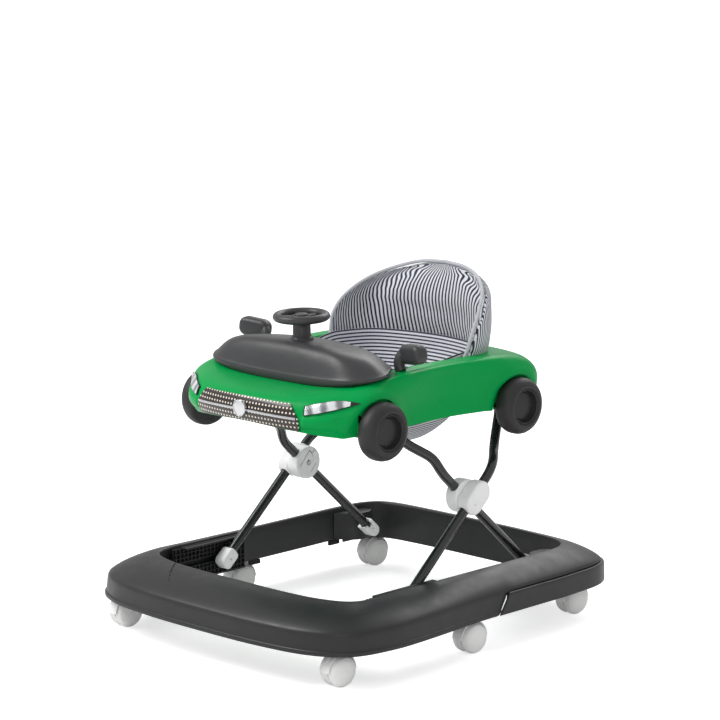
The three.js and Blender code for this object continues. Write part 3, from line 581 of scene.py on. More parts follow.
SHELL = plastic("shell black plastic", colour(36, 36, 38), 0.38)
SHELL_INNER = plastic("ribbed black plastic", colour(22, 22, 23), 0.5)
TUBE = paint("tube gloss black", colour(26, 26, 27), 0.26)
HOOD_GREY = plastic("hood charcoal plastic", colour(57, 57, 59), 0.38, grain=0.15)
GREEN = plastic("body green plastic", colour(0, 158, 76), 0.3,
                grain=0.02, grain_scale=900, clouds=0.03, ior=1.2)
WHITE = plastic("white plastic", colour(247, 247, 247), 0.36)
CASTER = plastic("caster pale plastic", colour(240, 240, 239), 0.42)
TYRE = plastic("toy tyre plastic", colour(40, 38, 39), 0.5, grain=0.2)
RUBBER = plastic("pad rubber", colour(30, 30, 31), 0.75, grain=0.3, grain_scale=900)
MIRROR_FACE = plastic("mirror face", colour(128, 120, 116), 0.3)
# Near black: the headlight bezels' own colour, and painted shade on the sheets lining the hub disc's slots.
DARK_TRIM_AND_PAINTED_SHADE = plastic("black trim and painted recess shade", colour(20, 20, 20), 0.6)
SILVER = metal("silver trim", colour(215, 215, 218), 0.22)
STEEL = metal("pin steel", colour(170, 170, 172), 0.3)
LIGHT_CLOTH, NAVY = colour(238, 239, 246), colour(36, 40, 62)
STRIPED = woven("striped cotton", LIGHT_CLOTH, NAVY, stripe_pitch=6.3, stripe_share=0.47)
STRIPED_FINE = woven("striped cotton across", LIGHT_CLOTH, NAVY, stripe_pitch=5.6, stripe_share=0.42)
PIPING = woven("piping cotton", colour(206, 207, 213), NAVY)


def add_piece(obj, name, body, slot, finish, *nodes):
    """Names a finished piece, gives it its material, and sets it on its CAD body."""
    obj.name = name
    obj.data.name = name
    obj.data.materials.clear()
    obj.data.materials.append(finish)
    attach(obj, body)
    if nodes:
        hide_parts(*nodes)
    return obj


# Base ring

# The ring's section: (share of the width from outer to inner edge in front of the slanted joint, height,
# share behind the joint). In front the outer wall runs down to the lip; behind, the shell overhangs the
# skirt with a shadow gap.
SHELL_OUTSIDE = [
    (0.0, 54, 0.06), (-0.002, 57, 0.06), (0.0, 59.6, 0.06), (0.008, 60.7, 0.062), (0.024, 61.4, 0.065),
    (0.03, 64, 0.07), (0.038, 72, 0.076), (0.046, 79, 0.084), (0.05, 82.5, 0.088), (0.054, 84.6, 0.09),
    (0.06, 86.6, 0.086), (0.067, 88.2, 0.062), (0.077, 89.8, 0.05), (0.1, 91.8, 0.064), (0.15, 95, 0.12),
    (0.23, 99.3, 0.21), (0.33, 103.7, 0.32), (0.45, 108.2, 0.45), (0.58, 112.2, 0.58), (0.7, 115, 0.7),
    (0.82, 116.9, 0.82), (0.9, 117.6, 0.9), (0.935, 118.1, 0.935), (0.957, 118.3, 0.957),
    (0.978, 118, 0.978), (0.993, 116.8, 0.993), (1.0, 114.6, 1.0), (1.0, 104, 1.0), (1.0, 84, 1.0),
    (1.0, 66, 1.0), (1.0, 54, 1.0),
]
SHELL_INSIDE = [
    (0.955, 54, 0.955), (0.955, 84, 0.955), (0.955, 111, 0.955), (0.93, 113.4, 0.93), (0.75, 110, 0.75),
    (0.47, 103.6, 0.47), (0.26, 97, 0.26), (0.15, 90.5, 0.17), (0.105, 85, 0.145), (0.085, 78, 0.14),
    (0.065, 62, 0.135), (0.05, 54, 0.13),
]


def ring_edges(stations):
    shares = np.arange(stations) / stations
    return [curve_through(mirrored_loop(half), shares) for half in (RING_OUTER, RING_INNER)]


def ring_row(edges, share, z):
    outer, inner = edges
    share = np.broadcast_to(share, len(outer))[:, None]
    return np.column_stack([outer + (inner - outer) * share, np.full(len(outer), float(z))])


def seam_y(z):
    return SEAM["y"] + (z - SEAM["z"]) * math.tan(SEAM["slope"])


def behind_seam(shifted=0.0):
    """A block that holds everything behind the slanted joint."""
    half = box((-400, 400), (shifted, 800), (-400, 400))
    return moved(half, shift(0, SEAM["y"], SEAM["z"]) @ Matrix.Rotation(-SEAM["slope"], 4, "X"))


def groove_tool():
    """The thin curved line on the right-hand front of the top surface."""
    centre, radius, width, depth = (234, -4), 463, 2.2, 2.0
    outer_edges = ring_edges(RING_STATIONS)
    rows = []
    for angle in np.radians(np.linspace(203, 223, 46)):
        strip = []
        for r, lift in ((radius - width, -depth), (radius, -depth), (radius, 6), (radius - width, 6)):
            x, y = centre[0] + r * math.cos(angle), centre[1] + r * math.sin(angle)
            strip.append((x, y, ring_top(outer_edges, x, y) + lift))
        rows.append(strip)
    return closed_loft("tool", rows)


def ring_top(edges, x, y):
    """Height of the ring's top surface over a point."""
    outer, inner = edges
    place = np.array((x, y))
    width = inner - outer
    share = np.einsum("ij,ij->i", place - outer, width) / np.einsum("ij,ij->i", width, width)
    miss = np.linalg.norm(outer + width * share[:, None] - place, axis=1)
    here = float(np.clip(share[np.argmin(miss)], 0.06, 0.92))
    section = np.array(SHELL_OUTSIDE[9:21])
    return float(np.interp(here, section[:, 0], section[:, 1]))


def build_shell():
    edges = ring_edges(RING_STATIONS)
    rows = []
    for share, z, rear_share in SHELL_OUTSIDE + SHELL_INSIDE:
        y = ring_row(edges, share, z)[:, 1]
        weight = smooth_step(y, seam_y(z) - 2, seam_y(z) + 4)
        rows.append(ring_row(edges, share + (rear_share - share) * weight, z))
    shell = ring_loft("shell", rows)
    room_section = [(-0.2, 40), (-0.2, SKIRT_TOP), (0.22, SKIRT_TOP), (0.11, 40)]
    room_rows = [ring_row(edges, share, z) for share, z in room_section]
    room = overlap(ring_loft("tool", room_rows), behind_seam(-0.35))
    notches = [box((side * 230 - 8, side * 230 + 8), (-38, 206), (45, 62)) for side in SIDES.values()]
    shell = cut(shell, room, *notches, groove_tool())
    return smoothed(shell, 40)


def build_skirt():
    edges = ring_edges(RING_STATIONS)
    section = [
        (-0.035, 54), (-0.037, 58), (-0.036, 66), (-0.033, 80), (-0.028, 84), (-0.018, 86.6),
        (-0.002, 87.5), (0.03, 87.6), (0.1, 87.6), (0.09, 85), (0.02, 78), (0.02, 54),
    ]
    skirt = ring_loft("skirt", [ring_row(edges, share, z) for share, z in section])
    return rounded(overlap(skirt, behind_seam()), 0.7, 2, 50)


def build_track():
    """The rail that a front foot slides along: a slotted plate with square stiffening ribs."""
    web = box((221.2, 223.5), (-203, -42), (57, 115))
    flanges = [box((212.6, 228), (-180, -42), (112, 115)), box((217, 228), (-180, -42), (57, 60))]
    track = cut(web, box((200, 226), (-198.5, -88), (81, 91)))
    pitch, half = 8.6, 0.6
    below, above, whole = (57.5, 80.2), (91.8, 114.5), (80.2, 114.5)
    slot_end = -84
    places = [(y, span) for y in np.arange(-199, -44, pitch) for span in (below, above)
              if y < slot_end or span == below]
    places += [(y, whole) for y in np.arange(-78.6, -44, pitch)]
    ribs = [box((217.6, 221.4), (y - half, y + half), span) for y, span in places]
    for z in (66, 74.5, 80.6, 91.4, 98.5, 106):
        ribs.append(box((217.8, 221.4), (-202.5, -42.5), (z - half, z + half)))
    return smoothed(joined("track", track, *flanges, *ribs), 30)


def build_bracket():
    """The wedge in a rear corner that carries the rear foot's pin."""
    y, z = REAR_FOOT
    middle = HUB_SPLIT_X + 2
    curve = [(middle + (214 - middle) * (1 - t) ** 2, y - 16 * t * (2 - t) - 26 * (1 - t) ** 2 + 16 * t * t)
             for t in np.linspace(0, 1, 9)]
    outline = [(228.4, y - 40), *curve, (middle, y + 16), (204, y + 30), (223, y + 22), (228.2, y - 16)]
    rows = [[(px, py, level) for px, py in outline] for level in (z - 23, z + 24)]
    wedge = closed_loft("bracket", rows)
    return rounded(cut(wedge, rod(PIN_RADIUS + 0.4, (180, 211), REAR_FOOT)), 1.6, 3, 40)


def add_base():
    add_piece(build_shell(), "ring_top_shell", "base", "shell_black", SHELL, "base_top_shell")
    add_piece(build_skirt(), "ring_rear_skirt", "base", "shell_black", SHELL, "base_rear_skirt")
    for side, sign in SIDES.items():
        for end, y in (("front", -9), ("rear", 183)):
            pad = rounded(box((227, 233), (y - 12, y + 12), (54, 61.6)), 0.8)
            add_piece(on_side(pad, sign), f"brake_block_{end}_{side}", "base", "rubber", RUBBER,
                      f"brake_pad_{end}_{side}")
        for build, name, node, finish in (
            (build_track, "foot_track", "slide_track", SHELL_INNER),
            (build_bracket, "rear_wedge", "rear_foot_bracket", SHELL),
        ):
            add_piece(on_side(build(), sign), f"{name}_{side}", "base", "shell_black", finish,
                      f"{node}_{side}")


# Casters


def caster_wheel():
    profile = [
        (0, 20.7), (3.2, 20.7), (4.0, 20.3), (5.0, 20.5), (10, 20.2), (15.5, 19.2), (19.5, 17.6),
        (20.3, 16.9), (21.1, 16.9), (22.7, 15.2), (24.2, 12.6), (24.9, 10), (25, 8), (24.7, 6.4),
        (23.8, 5.2), (22.2, 4.7), (8, 4.5), (3.4, 4.2), (3.4, 12), (0, 12),
    ]
    return smoothed(turned("wheel", profile, 72), 28)


def caster_housing():
    """The fork: a hood over both wheels, a web between them, the stem and the axle."""
    r = WHEEL_RADIUS
    hood_outline = arc((0, 0), r + 3.2, 0, 180, 28) + arc((0, 0), r + 1.2, 180, 0, 28)
    hood = plate("hood", hood_outline, (-11, 11), 0.8, 3)
    web_outline = [*arc((0, 0), r - 1, 200, 340, 20), (r + 2, 0), (r - 3, r - 6), (TRAIL, r + 1.5),
                   (-TRAIL, r + 1.5), (-r + 3, r - 6), (-r - 2, 0)]
    web = plate("web", web_outline, (-2.6, 2.6), 0.5, 2)
    stem_profile = [(0, r), (8.5, r), (8.5, r + 6), (5.2, r + 7.5), (5.2, 58), (4.4, 59), (0, 59)]
    stem_place = shift(0, TRAIL, 0) @ Matrix.Rotation(math.radians(-90), 4, "Y")
    stem = moved(turned("stem", stem_profile, 32), stem_place)
    axle = rod(2.9, (-12.6, 12.6), (0, 0), 24)
    return smoothed(joined("housing", hood, web, stem, axle), 32)


def add_casters():
    for end, (x, y) in CASTER_PLACES.items():
        for side, sign in SIDES.items():
            place = shift(sign * x, y, WHEEL_RADIUS) @ Matrix.Rotation(CASTER_TURN, 4, "Z")
            node = f"caster_{end}_{side}"
            add_piece(moved(caster_housing(), place), f"{node}_fork", node, "caster_plastic", CASTER,
                      f"{node}_housing")
            for half, spin in (("outer", 0), ("inner", math.pi)):
                wheel = moved(caster_wheel(), place @ Matrix.Rotation(spin, 4, "Z"))
                add_piece(wheel, f"{node}_disc_{half}", f"{node}_wheels", "caster_plastic", CASTER,
                          f"{node}_wheel_{half}")


# Scissor frame


def bent_path(corners, bend, step=3.0):
    """Straight runs joined by rounded bends, as points about `step` apart."""
    points = [corners[0]]
    for i in range(1, len(corners) - 1):
        before, corner, after = (np.asarray(corners[k], float) for k in (i - 1, i, i + 1))
        back, ahead = np.linalg.norm(before - corner), np.linalg.norm(after - corner)
        reach = min(bend, back * 0.45, ahead * 0.45)
        enter = corner + (before - corner) * reach / back
        leave = corner + (after - corner) * reach / ahead
        for t in np.linspace(0, 1, 10):
            points.append((1 - t) ** 2 * enter + 2 * t * (1 - t) * corner + t * t * leave)
    points.append(corners[-1])
    points = np.array(points, float)
    lengths = np.concatenate([[0], np.cumsum(np.linalg.norm(np.diff(points, axis=0), axis=1))])
    even = np.linspace(0, lengths[-1], int(lengths[-1] / step) + 1)
    return np.column_stack([np.interp(even, lengths, points[:, k]) for k in range(3)])


def leg_tube(x, foot, towards, bends):
    run = np.array([towards * ARM[0], ARM[1]], float)
    run /= np.linalg.norm(run)
    half = [(x, *(np.array(foot) + run * 8)), (x, *(np.array(PIVOT) + run * KNEE_DISTANCE))]
    half += [(bx, PIVOT[0] + towards * reach, z) for bx, reach, z in bends]
    half.append((CROSSBAR["half_width"], PIVOT[0] + towards * CROSSBAR["reach"], CROSSBAR["z"]))
    corners = half + [(-p[0], p[1], p[2]) for p in reversed(half)]
    tube = sweep("tube", bent_path(corners, TUBE_BEND), round_outline(TUBE_RADIUS, 28))
    return smoothed(tube, 40)


def tube_room(x, foot_side, start, end):
    """The bore that a leg's tube needs in a moulding, along the tube from the moulding's middle."""
    hole = rod(TUBE_RADIUS + 0.5, (start, end), (0, 0), 40)
    lean = Matrix.Rotation(math.atan2(ARM[1], foot_side * ARM[0]), 4, "X")
    turn = lean @ Matrix.Rotation(math.radians(90), 4, "Z")
    return moved(hole, shift(x, 0, 0) @ turn)


def hub_cover():
    """The drop-shaped outer cover of a crossing, round the front leg's tube."""
    outline = arc((0, 12), 19.5, 0, 180, 24) + arc((0, -10), 19.5, 180, 360, 24)
    thick = 25
    body = plate("cover", outline, (-thick / 2, thick / 2), 4.5, 6)
    body = moved(body, Matrix.Rotation(-LEAN, 4, "X"))
    tools = [
        tube_room(FRONT_LEG_X - HUB_SPLIT_X - HUB_HALF_GAP - thick / 2, 1, -60, 60),
        rod(PIN_RADIUS + 0.3, (-40, 9), (0, 0)),
        rod(1.9, (8, 20), (-9, -8), 20),
    ]
    cover = rounded(cut(body, *tools), 0.4, 2, 40)
    return moved(cover, shift(HUB_SPLIT_X + HUB_HALF_GAP + thick / 2, *PIVOT))


def hub_slots(depths):
    """Blocks in the disc's slots, between two depths below its face."""
    face = -HUB_DISC["thickness"] / 2
    x = [face + depth for depth in depths]
    return [moved(box(x, y, z), Matrix.Rotation(LEAN, 4, "X")) for y, z in HUB_SLOTS]


def hub_place():
    return shift(HUB_SPLIT_X - HUB_HALF_GAP - HUB_DISC["thickness"] / 2, *PIVOT)


def hub_disc():
    """The round inner half of a crossing, with the slots round its lock tab."""
    thick = HUB_DISC["thickness"]
    middle = HUB_SPLIT_X - HUB_HALF_GAP - thick / 2
    body = plate("disc", arc((0, 0), HUB_DISC["radius"], 0, 356, 90), (-thick / 2, thick / 2), 3, 5)
    tools = [
        tube_room(REAR_LEG_X - middle, -1, -60, 60), rod(PIN_RADIUS + 0.3, (-40, 40), (0, 0)),
        rod(5.9, (-40, 4), (14, 14), 32), *hub_slots((-3, HUB_SLOT_DEPTH)),
    ]
    return moved(rounded(cut(body, *tools), 0.3, 2, 40), hub_place())


def hub_slot_painted_shade():
    """Dark sheets at the bottoms of the slots: painted shade in the white disc's recesses."""
    return moved(joined("slot_shade", *hub_slots((HUB_SLOT_DEPTH - 1.2, HUB_SLOT_DEPTH))), hub_place())


def front_foot():
    """A moulded cap over the front leg's end, with a screw hole and the pin that slides in the track."""
    body = plate("foot", rounded_box_outline(24, 34, 8), (-11.25, 11.25), 3, 5)
    body = moved(body, Matrix.Rotation(-LEAN, 4, "X"))
    body = cut(body, tube_room(0, 1, 3, 60), rod(2.3, (-16, -7), (0, 0), 24))
    cap = moved(rounded(body, 0.3, 2, 40), shift(FRONT_LEG_X, *FRONT_FOOT))
    return joined("foot", cap, rod(PIN_RADIUS - 0.2, (FRONT_LEG_X + 9, 222.8), FRONT_FOOT))


def rear_foot():
    """A forked cap with a round end over the rear leg's end, and its pivot pin."""
    outline = [(-10.5, 15), *arc((0, -7), 10.5, 180, 360, 20), (10.5, 15)]
    body = plate("foot", outline, (-11.25, 11.25), 2.4, 5)
    body = moved(body, Matrix.Rotation(LEAN, 4, "X"))
    fork = moved(box((-20, 20), (-4.5, 4.5), (8, 40)), Matrix.Rotation(LEAN, 4, "X"))
    body = cut(body, tube_room(0, -1, 3, 60), fork, rod(2.3, (-16, -7), (0, 0), 24))
    cap = moved(rounded(body, 0.3, 2, 40), shift(REAR_LEG_X, *REAR_FOOT))
    return joined("foot", cap, rod(PIN_RADIUS - 0.2, (REAR_LEG_X + 9, 210), REAR_FOOT))


def pivot_pin():
    x = HUB_SPLIT_X - 25.5
    profile = [(0, x), (3.4, x), (PIN_RADIUS, x + 1), (PIN_RADIUS, FRONT_LEG_X + 7), (3.6, FRONT_LEG_X + 8),
               (0, FRONT_LEG_X + 8)]
    return smoothed(moved(turned("pin", profile, 32), shift(0, *PIVOT)), 30)


def lock_button():
    x = HUB_SPLIT_X - 26.5
    profile = [(0, x), (3.6, x), (4.8, x + 0.5), (5.5, x + 1.6), (5.5, x + 12), (0, x + 12)]
    return smoothed(moved(turned("button", profile, 32), shift(0, PIVOT[0] + 14, PIVOT[1] + 14)), 30)


def add_frame():
    front = leg_tube(FRONT_LEG_X, FRONT_FOOT, 1, FRONT_LEG_BENDS)
    add_piece(front, "front_leg", "front_leg", "tube_black", TUBE, "front_leg_tube")
    rear = leg_tube(REAR_LEG_X, REAR_FOOT, -1, REAR_LEG_BENDS)
    add_piece(rear, "rear_leg", "rear_leg", "tube_black", TUBE, "rear_leg_tube")
    small = [
        (hub_cover, "hub_outer", "front_leg", "white_plastic", WHITE, "hub_cover"),
        (hub_disc, "hub_inner", "rear_leg", "white_plastic", WHITE, "hub_disc"),
        (pivot_pin, "hub_pin", "rear_leg", "steel", STEEL, "pivot_pin"),
        (lock_button, "lock_button", "lock_button_{side}", "white_plastic", WHITE, "fold_lock_button"),
        (front_foot, "front_cap", "front_leg", "white_plastic", WHITE, "front_foot"),
        (rear_foot, "rear_cap", "rear_leg", "white_plastic", WHITE, "rear_foot"),
    ]
    for build, name, body, slot, finish, node in small:
        for side, sign in SIDES.items():
            add_piece(on_side(build(), sign), f"{name}_{side}", body.format(side=side), slot, finish,
                      f"{node}_{side}")
    # Painted shade: dark sheets lining the slots of the white hub disc.
    for side, sign in SIDES.items():
        add_piece(on_side(hub_slot_painted_shade(), sign), f"hub_slot_painted_shade_{side}", "rear_leg",
                  "white_plastic", DARK_TRIM_AND_PAINTED_SHADE)


# Car body

BODY_CURVES = [mirrored_loop(line) for line in BODY_LINES]


def through_lines(lines, up):
    """Points up the body's section at each station, on a centripetal curve through the lines."""
    lines = np.asarray(lines)
    longer = np.concatenate([[2 * lines[0] - lines[1]], lines, [2 * lines[-1] - lines[-2]]])
    stations = np.arange(lines.shape[1])
    up = np.broadcast_to(up, stations.shape)
    first = np.clip(np.floor(up), 0, len(lines) - 2).astype(int)
    w = (up - first)[:, None]
    a, b, c, d = (longer[first + k, stations] for k in range(4))
    gaps = [np.maximum(np.linalg.norm(q - p, axis=1), 1e-4)[:, None] ** 0.5
            for p, q in ((a, b), (b, c), (c, d))]
    leave = ((b - a) / gaps[0] - (c - a) / (gaps[0] + gaps[1]) + (c - b) / gaps[1]) * gaps[1]
    arrive = ((c - b) / gaps[1] - (d - b) / (gaps[1] + gaps[2]) + (d - c) / gaps[2]) * gaps[1]
    return b + w * (leave + w * ((3 * (c - b) - 2 * leave - arrive) + w * (2 * (b - c) + leave + arrive)))


def body_row(shares, up):
    """Points of the body's skin; `up` counts the lines from the sill."""
    return through_lines([curve_through(loop, shares % 1) for loop in BODY_CURVES], up)


def body_normals(shares, up):
    small = 0.0015
    along = body_row(shares + small, up) - body_row(shares - small, up)
    low, high = np.maximum(up - 0.02, 0), np.minimum(up + 0.02, len(BODY_LINES) - 1)
    normal = np.cross(along, body_row(shares, high) - body_row(shares, low))
    return normal / np.linalg.norm(normal, axis=1, keepdims=True)


def relief(points, shares, up):
    """How far the skin stands proud of its smooth form: flares round the wheel arches, and the
    facet under each headlight."""
    push = np.zeros(len(points))
    for y, z in TOY_WHEEL_PLACES.values():
        away = np.hypot(points[:, 1] - y, points[:, 2] - z)
        beside = smooth_step(np.abs(points[:, 0]), 150, 172)
        flare = np.exp(-((away - ARCH_FLARE["radius"]) / ARCH_FLARE["width"]) ** 2)
        push += ARCH_FLARE["height"] * flare * beside
    station = np.minimum(shares % 1, 1 - shares % 1) * 2 * (len(BODY_LINES[0]) - 1)
    facet = smooth_step(station, 1.2, 1.27) * smooth_step(2.45 - station, 0.0, 0.5)
    under = smooth_step(headlight_low(station) - 0.06 - up, 0.0, 0.14)
    push += FACET_HEIGHT * facet * smooth_step(up, 0.0, 0.8) * under
    return push


def headlight_share(station):
    first, last = HEADLIGHT_ENDS
    return np.clip((station - first) / (last - first), 0, 1)


def headlight_low(station):
    return 1.29 + 0.57 * headlight_share(station)


def headlight_high(station):
    share = headlight_share(station)
    return np.maximum(1.8 + 0.08 * share + 0.24 * np.sin(math.pi * share), headlight_low(station) + 0.02)


def skin_row(shares, up, lift=0.0):
    points = body_row(shares, up)
    return points + body_normals(shares, up) * (relief(points, shares, up) + lift)[:, None]


def build_body():
    shares = np.arange(BODY_STATIONS) / BODY_STATIONS
    levels = np.linspace(0, len(BODY_LINES) - 1, (len(BODY_LINES) - 1) * BODY_ROWS_PER_LINE + 1)
    outside = np.array([skin_row(shares, up) for up in levels])
    inside = outside - grid_normals(outside) * BODY_WALL
    body = ring_loft("body", [*outside, *inside[::-1]])
    r, x = TOY_WHEEL["radius"] + 3.5, TOY_WHEEL["inner_x"] - 1
    rooms = []
    for place in TOY_WHEEL_PLACES.values():
        rooms.append(rod(r, (x, x + 60), place, 72))
        rooms.append(rod(r, (-x - 60, -x), place, 72))
    return rounded(cut(body, *rooms), 0.8, 2, 45)


def arch_wall(end_side):
    """The flat wall behind a toy wheel, cut short towards the car's end, and the stub it turns on."""
    x = TOY_WHEEL["inner_x"]
    half_round = arc((0, 0), ARCH_WALL["radius"], 0, 180, 40)
    outline = [(end_side * min(end_side * y, ARCH_WALL["end_reach"]), z) for y, z in half_round]
    wall = plate("wall", outline, (x - 4, x - 1), 0.5, 2)
    return smoothed(joined("arch", wall, rod(5, (x - 4, x + 18), (0, 0))), 32)


def build_hangers():
    """Under the body: saddles for the front leg's crossbar, slotted plates for the rear leg's."""
    hinge_y, slide_y = PIVOT[0] + CROSSBAR["reach"], PIVOT[0] - CROSSBAR["reach"]
    bore, z = TUBE_RADIUS + 0.5, CROSSBAR["z"]
    slide = [(-232, 370), (-62, 370), (-62, 435.5), (-134, 429.5), (-205, 423.5), (-232, 414.5)]
    pieces = []
    for sign in SIDES.values():
        x = sign * 80
        saddle = box((x - 9, x + 9), (hinge_y - 14, hinge_y + 14), (z - 13, 441))
        pieces.append(rounded(cut(saddle, rod(bore, (x - 30, x + 30), (hinge_y, z), 40)), 1.2, 3))
        x = sign * 84
        web = plate("web", slide, (x - 4, x + 4), 0.8, 2)
        mouth = slide_y - 134
        outline = [(mouth, z - bore), *arc((slide_y, z), bore, -90, 90, 20), (mouth, z + bore)]
        slot = plate("slot", outline, (x - 20, x + 20), 0.01, 1)
        pieces.append(rounded(cut(web, slot), 0.5, 2, 40))
    return joined("hangers", *pieces)


def body_patch(name, stations, columns, low, high, thickness, levels=14):
    """A thin plate lying on the body's skin, between two edges that count the body's lines."""
    reach = np.linspace(*stations, columns + 1)
    shares = reach / (2 * (len(BODY_LINES[0]) - 1))
    station = np.abs(reach)
    bottom, top = low(station), high(station)
    sheets = [[skin_row(shares, bottom + (top - bottom) * k / levels, lift) for k in range(levels + 1)]
              for lift in (PATCH_LIFT + thickness, PATCH_LIFT - PATCH_SUNK)]
    points = np.array(sheets).reshape(-1, 3)
    count = (levels + 1) * (columns + 1)
    quads = grid_faces(levels + 1, columns + 1, wrap_columns=False)
    faces = [tuple(v + side * count for v in quad) for side in (0, 1) for quad in quads]
    rim = [(0, c) for c in range(columns + 1)] + [(k, columns) for k in range(1, levels + 1)]
    rim += [(levels, c) for c in range(columns - 1, -1, -1)] + [(k, 0) for k in range(levels - 1, 0, -1)]
    edge = [k * (columns + 1) + c for k, c in rim]
    faces += [(a, b, b + count, a + count) for a, b in zip(edge, edge[1:] + edge[:1])]
    return smoothed(new_object(name, points, faces), 40)


def cloth_place(obj, across, along):
    """Stores the piece's own coordinates, in millimetres, on each point."""
    points = np.array([v.co for v in obj.data.vertices], float) / MM
    for name, values in (("across", across(points)), ("along", along(points))):
        attribute = obj.data.attributes.new(name, "FLOAT", "POINT")
        attribute.data.foreach_set("value", values.astype(np.float32))
    return obj


def grille_material():
    """Dark printed trim with rows of pale dots."""
    made, add = material("grille dotted trim")
    across, along = own_place(add)
    steps = []
    for value, pitch in ((across, 6.8), (along, 7.2)):
        ratio = add("ShaderNodeMath", {0: value, 1: pitch}, operation="DIVIDE")
        part = add("ShaderNodeMath", {0: ratio.outputs[0]}, operation="FRACT")
        off = add("ShaderNodeMath", {0: part.outputs[0], 1: 0.5}, operation="SUBTRACT")
        length = add("ShaderNodeMath", {0: off.outputs[0], 1: pitch}, operation="MULTIPLY")
        steps.append(add("ShaderNodeMath", {0: length.outputs[0], 1: 2.0}, operation="POWER"))
    total = add("ShaderNodeMath", {0: steps[0].outputs[0], 1: steps[1].outputs[0]}, operation="ADD")
    away = add("ShaderNodeMath", {0: total.outputs[0], 1: 0.5}, operation="POWER")
    dot = spread_over(add, away.outputs[0], 1.35, 1.75, 1.0, 0.0)
    slow = noise(add, 60, 3)
    ground = mixed(add, slow.outputs["Fac"], colour(30, 20, 18), colour(40, 27, 24))
    shade = mixed(add, dot.outputs["Result"], ground, colour(236, 226, 208))
    bump = add("ShaderNodeBump", {"Height": dot.outputs["Result"], "Strength": 0.35, "Distance": 0.0006})
    shader = add("ShaderNodeBsdfPrincipled", {
        "Base Color": shade, "Roughness": 0.32, "Normal": bump.outputs["Normal"], "Coat Weight": 0.4,
    })
    finished(add, shader)
    return made


def lamp_material():
    """A silvered lamp behind a clear cover: bright cups parted by darker bands."""
    made, add = material("headlight silvered lamp")
    across, along = own_place(add)
    slant = add("ShaderNodeMath", {0: along, 1: 0.55, 2: across}, operation="MULTIPLY_ADD").outputs[0]
    bands = wave_of(add, slant, 21)
    blotches = noise(add, 150, 4, 0.6)
    total = add("ShaderNodeMath", {0: blotches.outputs["Fac"], 1: 0.9, 2: bands}, operation="MULTIPLY_ADD")
    share = spread_over(add, total.outputs[0], 0.55, 1.2, 0.0, 1.0)
    shade = mixed(add, share.outputs["Result"], colour(128, 132, 136), colour(240, 243, 245))
    fine = wave_of(add, across, 2.4)
    bump = add("ShaderNodeBump", {"Height": fine, "Strength": 0.25, "Distance": 0.0006})
    shader = add("ShaderNodeBsdfPrincipled", {
        "Base Color": shade, "Roughness": 0.16, "Metallic": 0.35, "Normal": bump.outputs["Normal"],
        "Coat Weight": 1.0, "Coat Roughness": 0.04,
    })
    finished(add, shader)
    return made


GRILLE = grille_material()
LAMP = lamp_material()


def grille_top(station):
    """The upper edge drops over both ends in a straight slant."""
    return 0.14 + 1.76 * np.minimum(1, (GRILLE_REACH - station) * 2.4 + 0.52)


def level(value):
    """An edge of a patch that keeps to one height on the body."""
    return lambda station: np.full(len(station), value)


def lamp_low(station):
    return headlight_low(station) + LAMP_MARGIN


def lamp_high(station):
    return headlight_high(station) - LAMP_MARGIN


def build_badge():
    profile = [(0, -2.6), (13.2, -2.6), (13.7, -2), (13.7, 1.2), (13.1, 2), (12.1, 2), (11.5, 1.1),
               (6, 1.6), (0, 1.8)]
    turn = Matrix.Rotation(math.radians(3), 4, "X") @ Matrix.Rotation(math.radians(-90), 4, "Z")
    return smoothed(moved(turned("badge", profile, 64), shift(0, -259.4, 394) @ turn), 30)


def add_front_trim():
    panel = body_patch("panel", (-GRILLE_REACH, GRILLE_REACH), 120, level(0.14), grille_top, 1.0, 20)
    cloth_place(panel, lambda p: p[:, 0], lambda p: p[:, 2] - 372)
    add_piece(panel, "grille_panel", "car", "grille_trim", GRILLE, "grille")
    first, last = HEADLIGHT_ENDS
    for side, sign in SIDES.items():
        rail = body_patch("rail", (0.13, GRILLE_REACH - 0.05), 40, level(1.0), level(1.14), 2.0, 4)
        bezel = body_patch("bezel", HEADLIGHT_ENDS, 60, headlight_low, headlight_high, 0.5)
        lamp = body_patch("lamp", (first + 0.03, last - 0.25), 60, lamp_low, lamp_high, 1.3)
        rail, bezel, lamp = (on_side(piece, sign) for piece in (rail, bezel, lamp))
        cloth_place(lamp, lambda p: np.abs(p[:, 0]), lambda p: p[:, 2])
        add_piece(rail, f"grille_rail_{side}", "car", "silver_trim", SILVER)
        add_piece(bezel, f"headlight_bezel_{side}", "car", "hood_grey", DARK_TRIM_AND_PAINTED_SHADE)
        add_piece(lamp, f"headlight_lens_{side}", "car", "lamp_trim", LAMP, f"headlight_{side}")
    add_piece(build_badge(), "nose_disc", "car", "silver_trim", SILVER, "nose_badge")


# Hood, mirrors and toy wheels

# The hood's section, as (height, spread), from the tray's inner edge over the rim to the top
HOOD_PROFILE = [
    (-0.02, 0.965), (-0.035, 0.995), (-0.005, 1.022), (0.05, 1.034), (0.11, 1.038), (0.17, 1.032),
    (0.22, 1.012), (0.32, 0.985), (0.44, 0.955), (0.57, 0.92), (0.69, 0.88), (0.8, 0.83),
    (0.885, 0.765), (0.945, 0.68), (0.98, 0.56), (0.994, 0.4), (1.0, 0.22), (1.002, 0.08),
]


def hood_rows(profile, stations=160):
    rim = curve_through(mirrored_loop(HOOD_RIM), np.arange(stations) / stations)
    middle = np.array([0, HOOD_TOP["y"]])
    fine = curve_through(profile, np.linspace(0, 1, 48), closed=False)
    rows = []
    for height, spread in fine:
        flat = middle + (rim[:, :2] - middle) * spread
        fall = HOOD_TOP["slope"] * (flat[:, 1] - middle[1])
        top = HOOD_TOP["z"] - fall - HOOD_TOP["crown"] * (flat[:, 0] / HOOD_TOP["half_width"]) ** 2
        rows.append(np.column_stack([flat, rim[:, 2] + (top - rim[:, 2]) * height]))
    return np.array(rows)


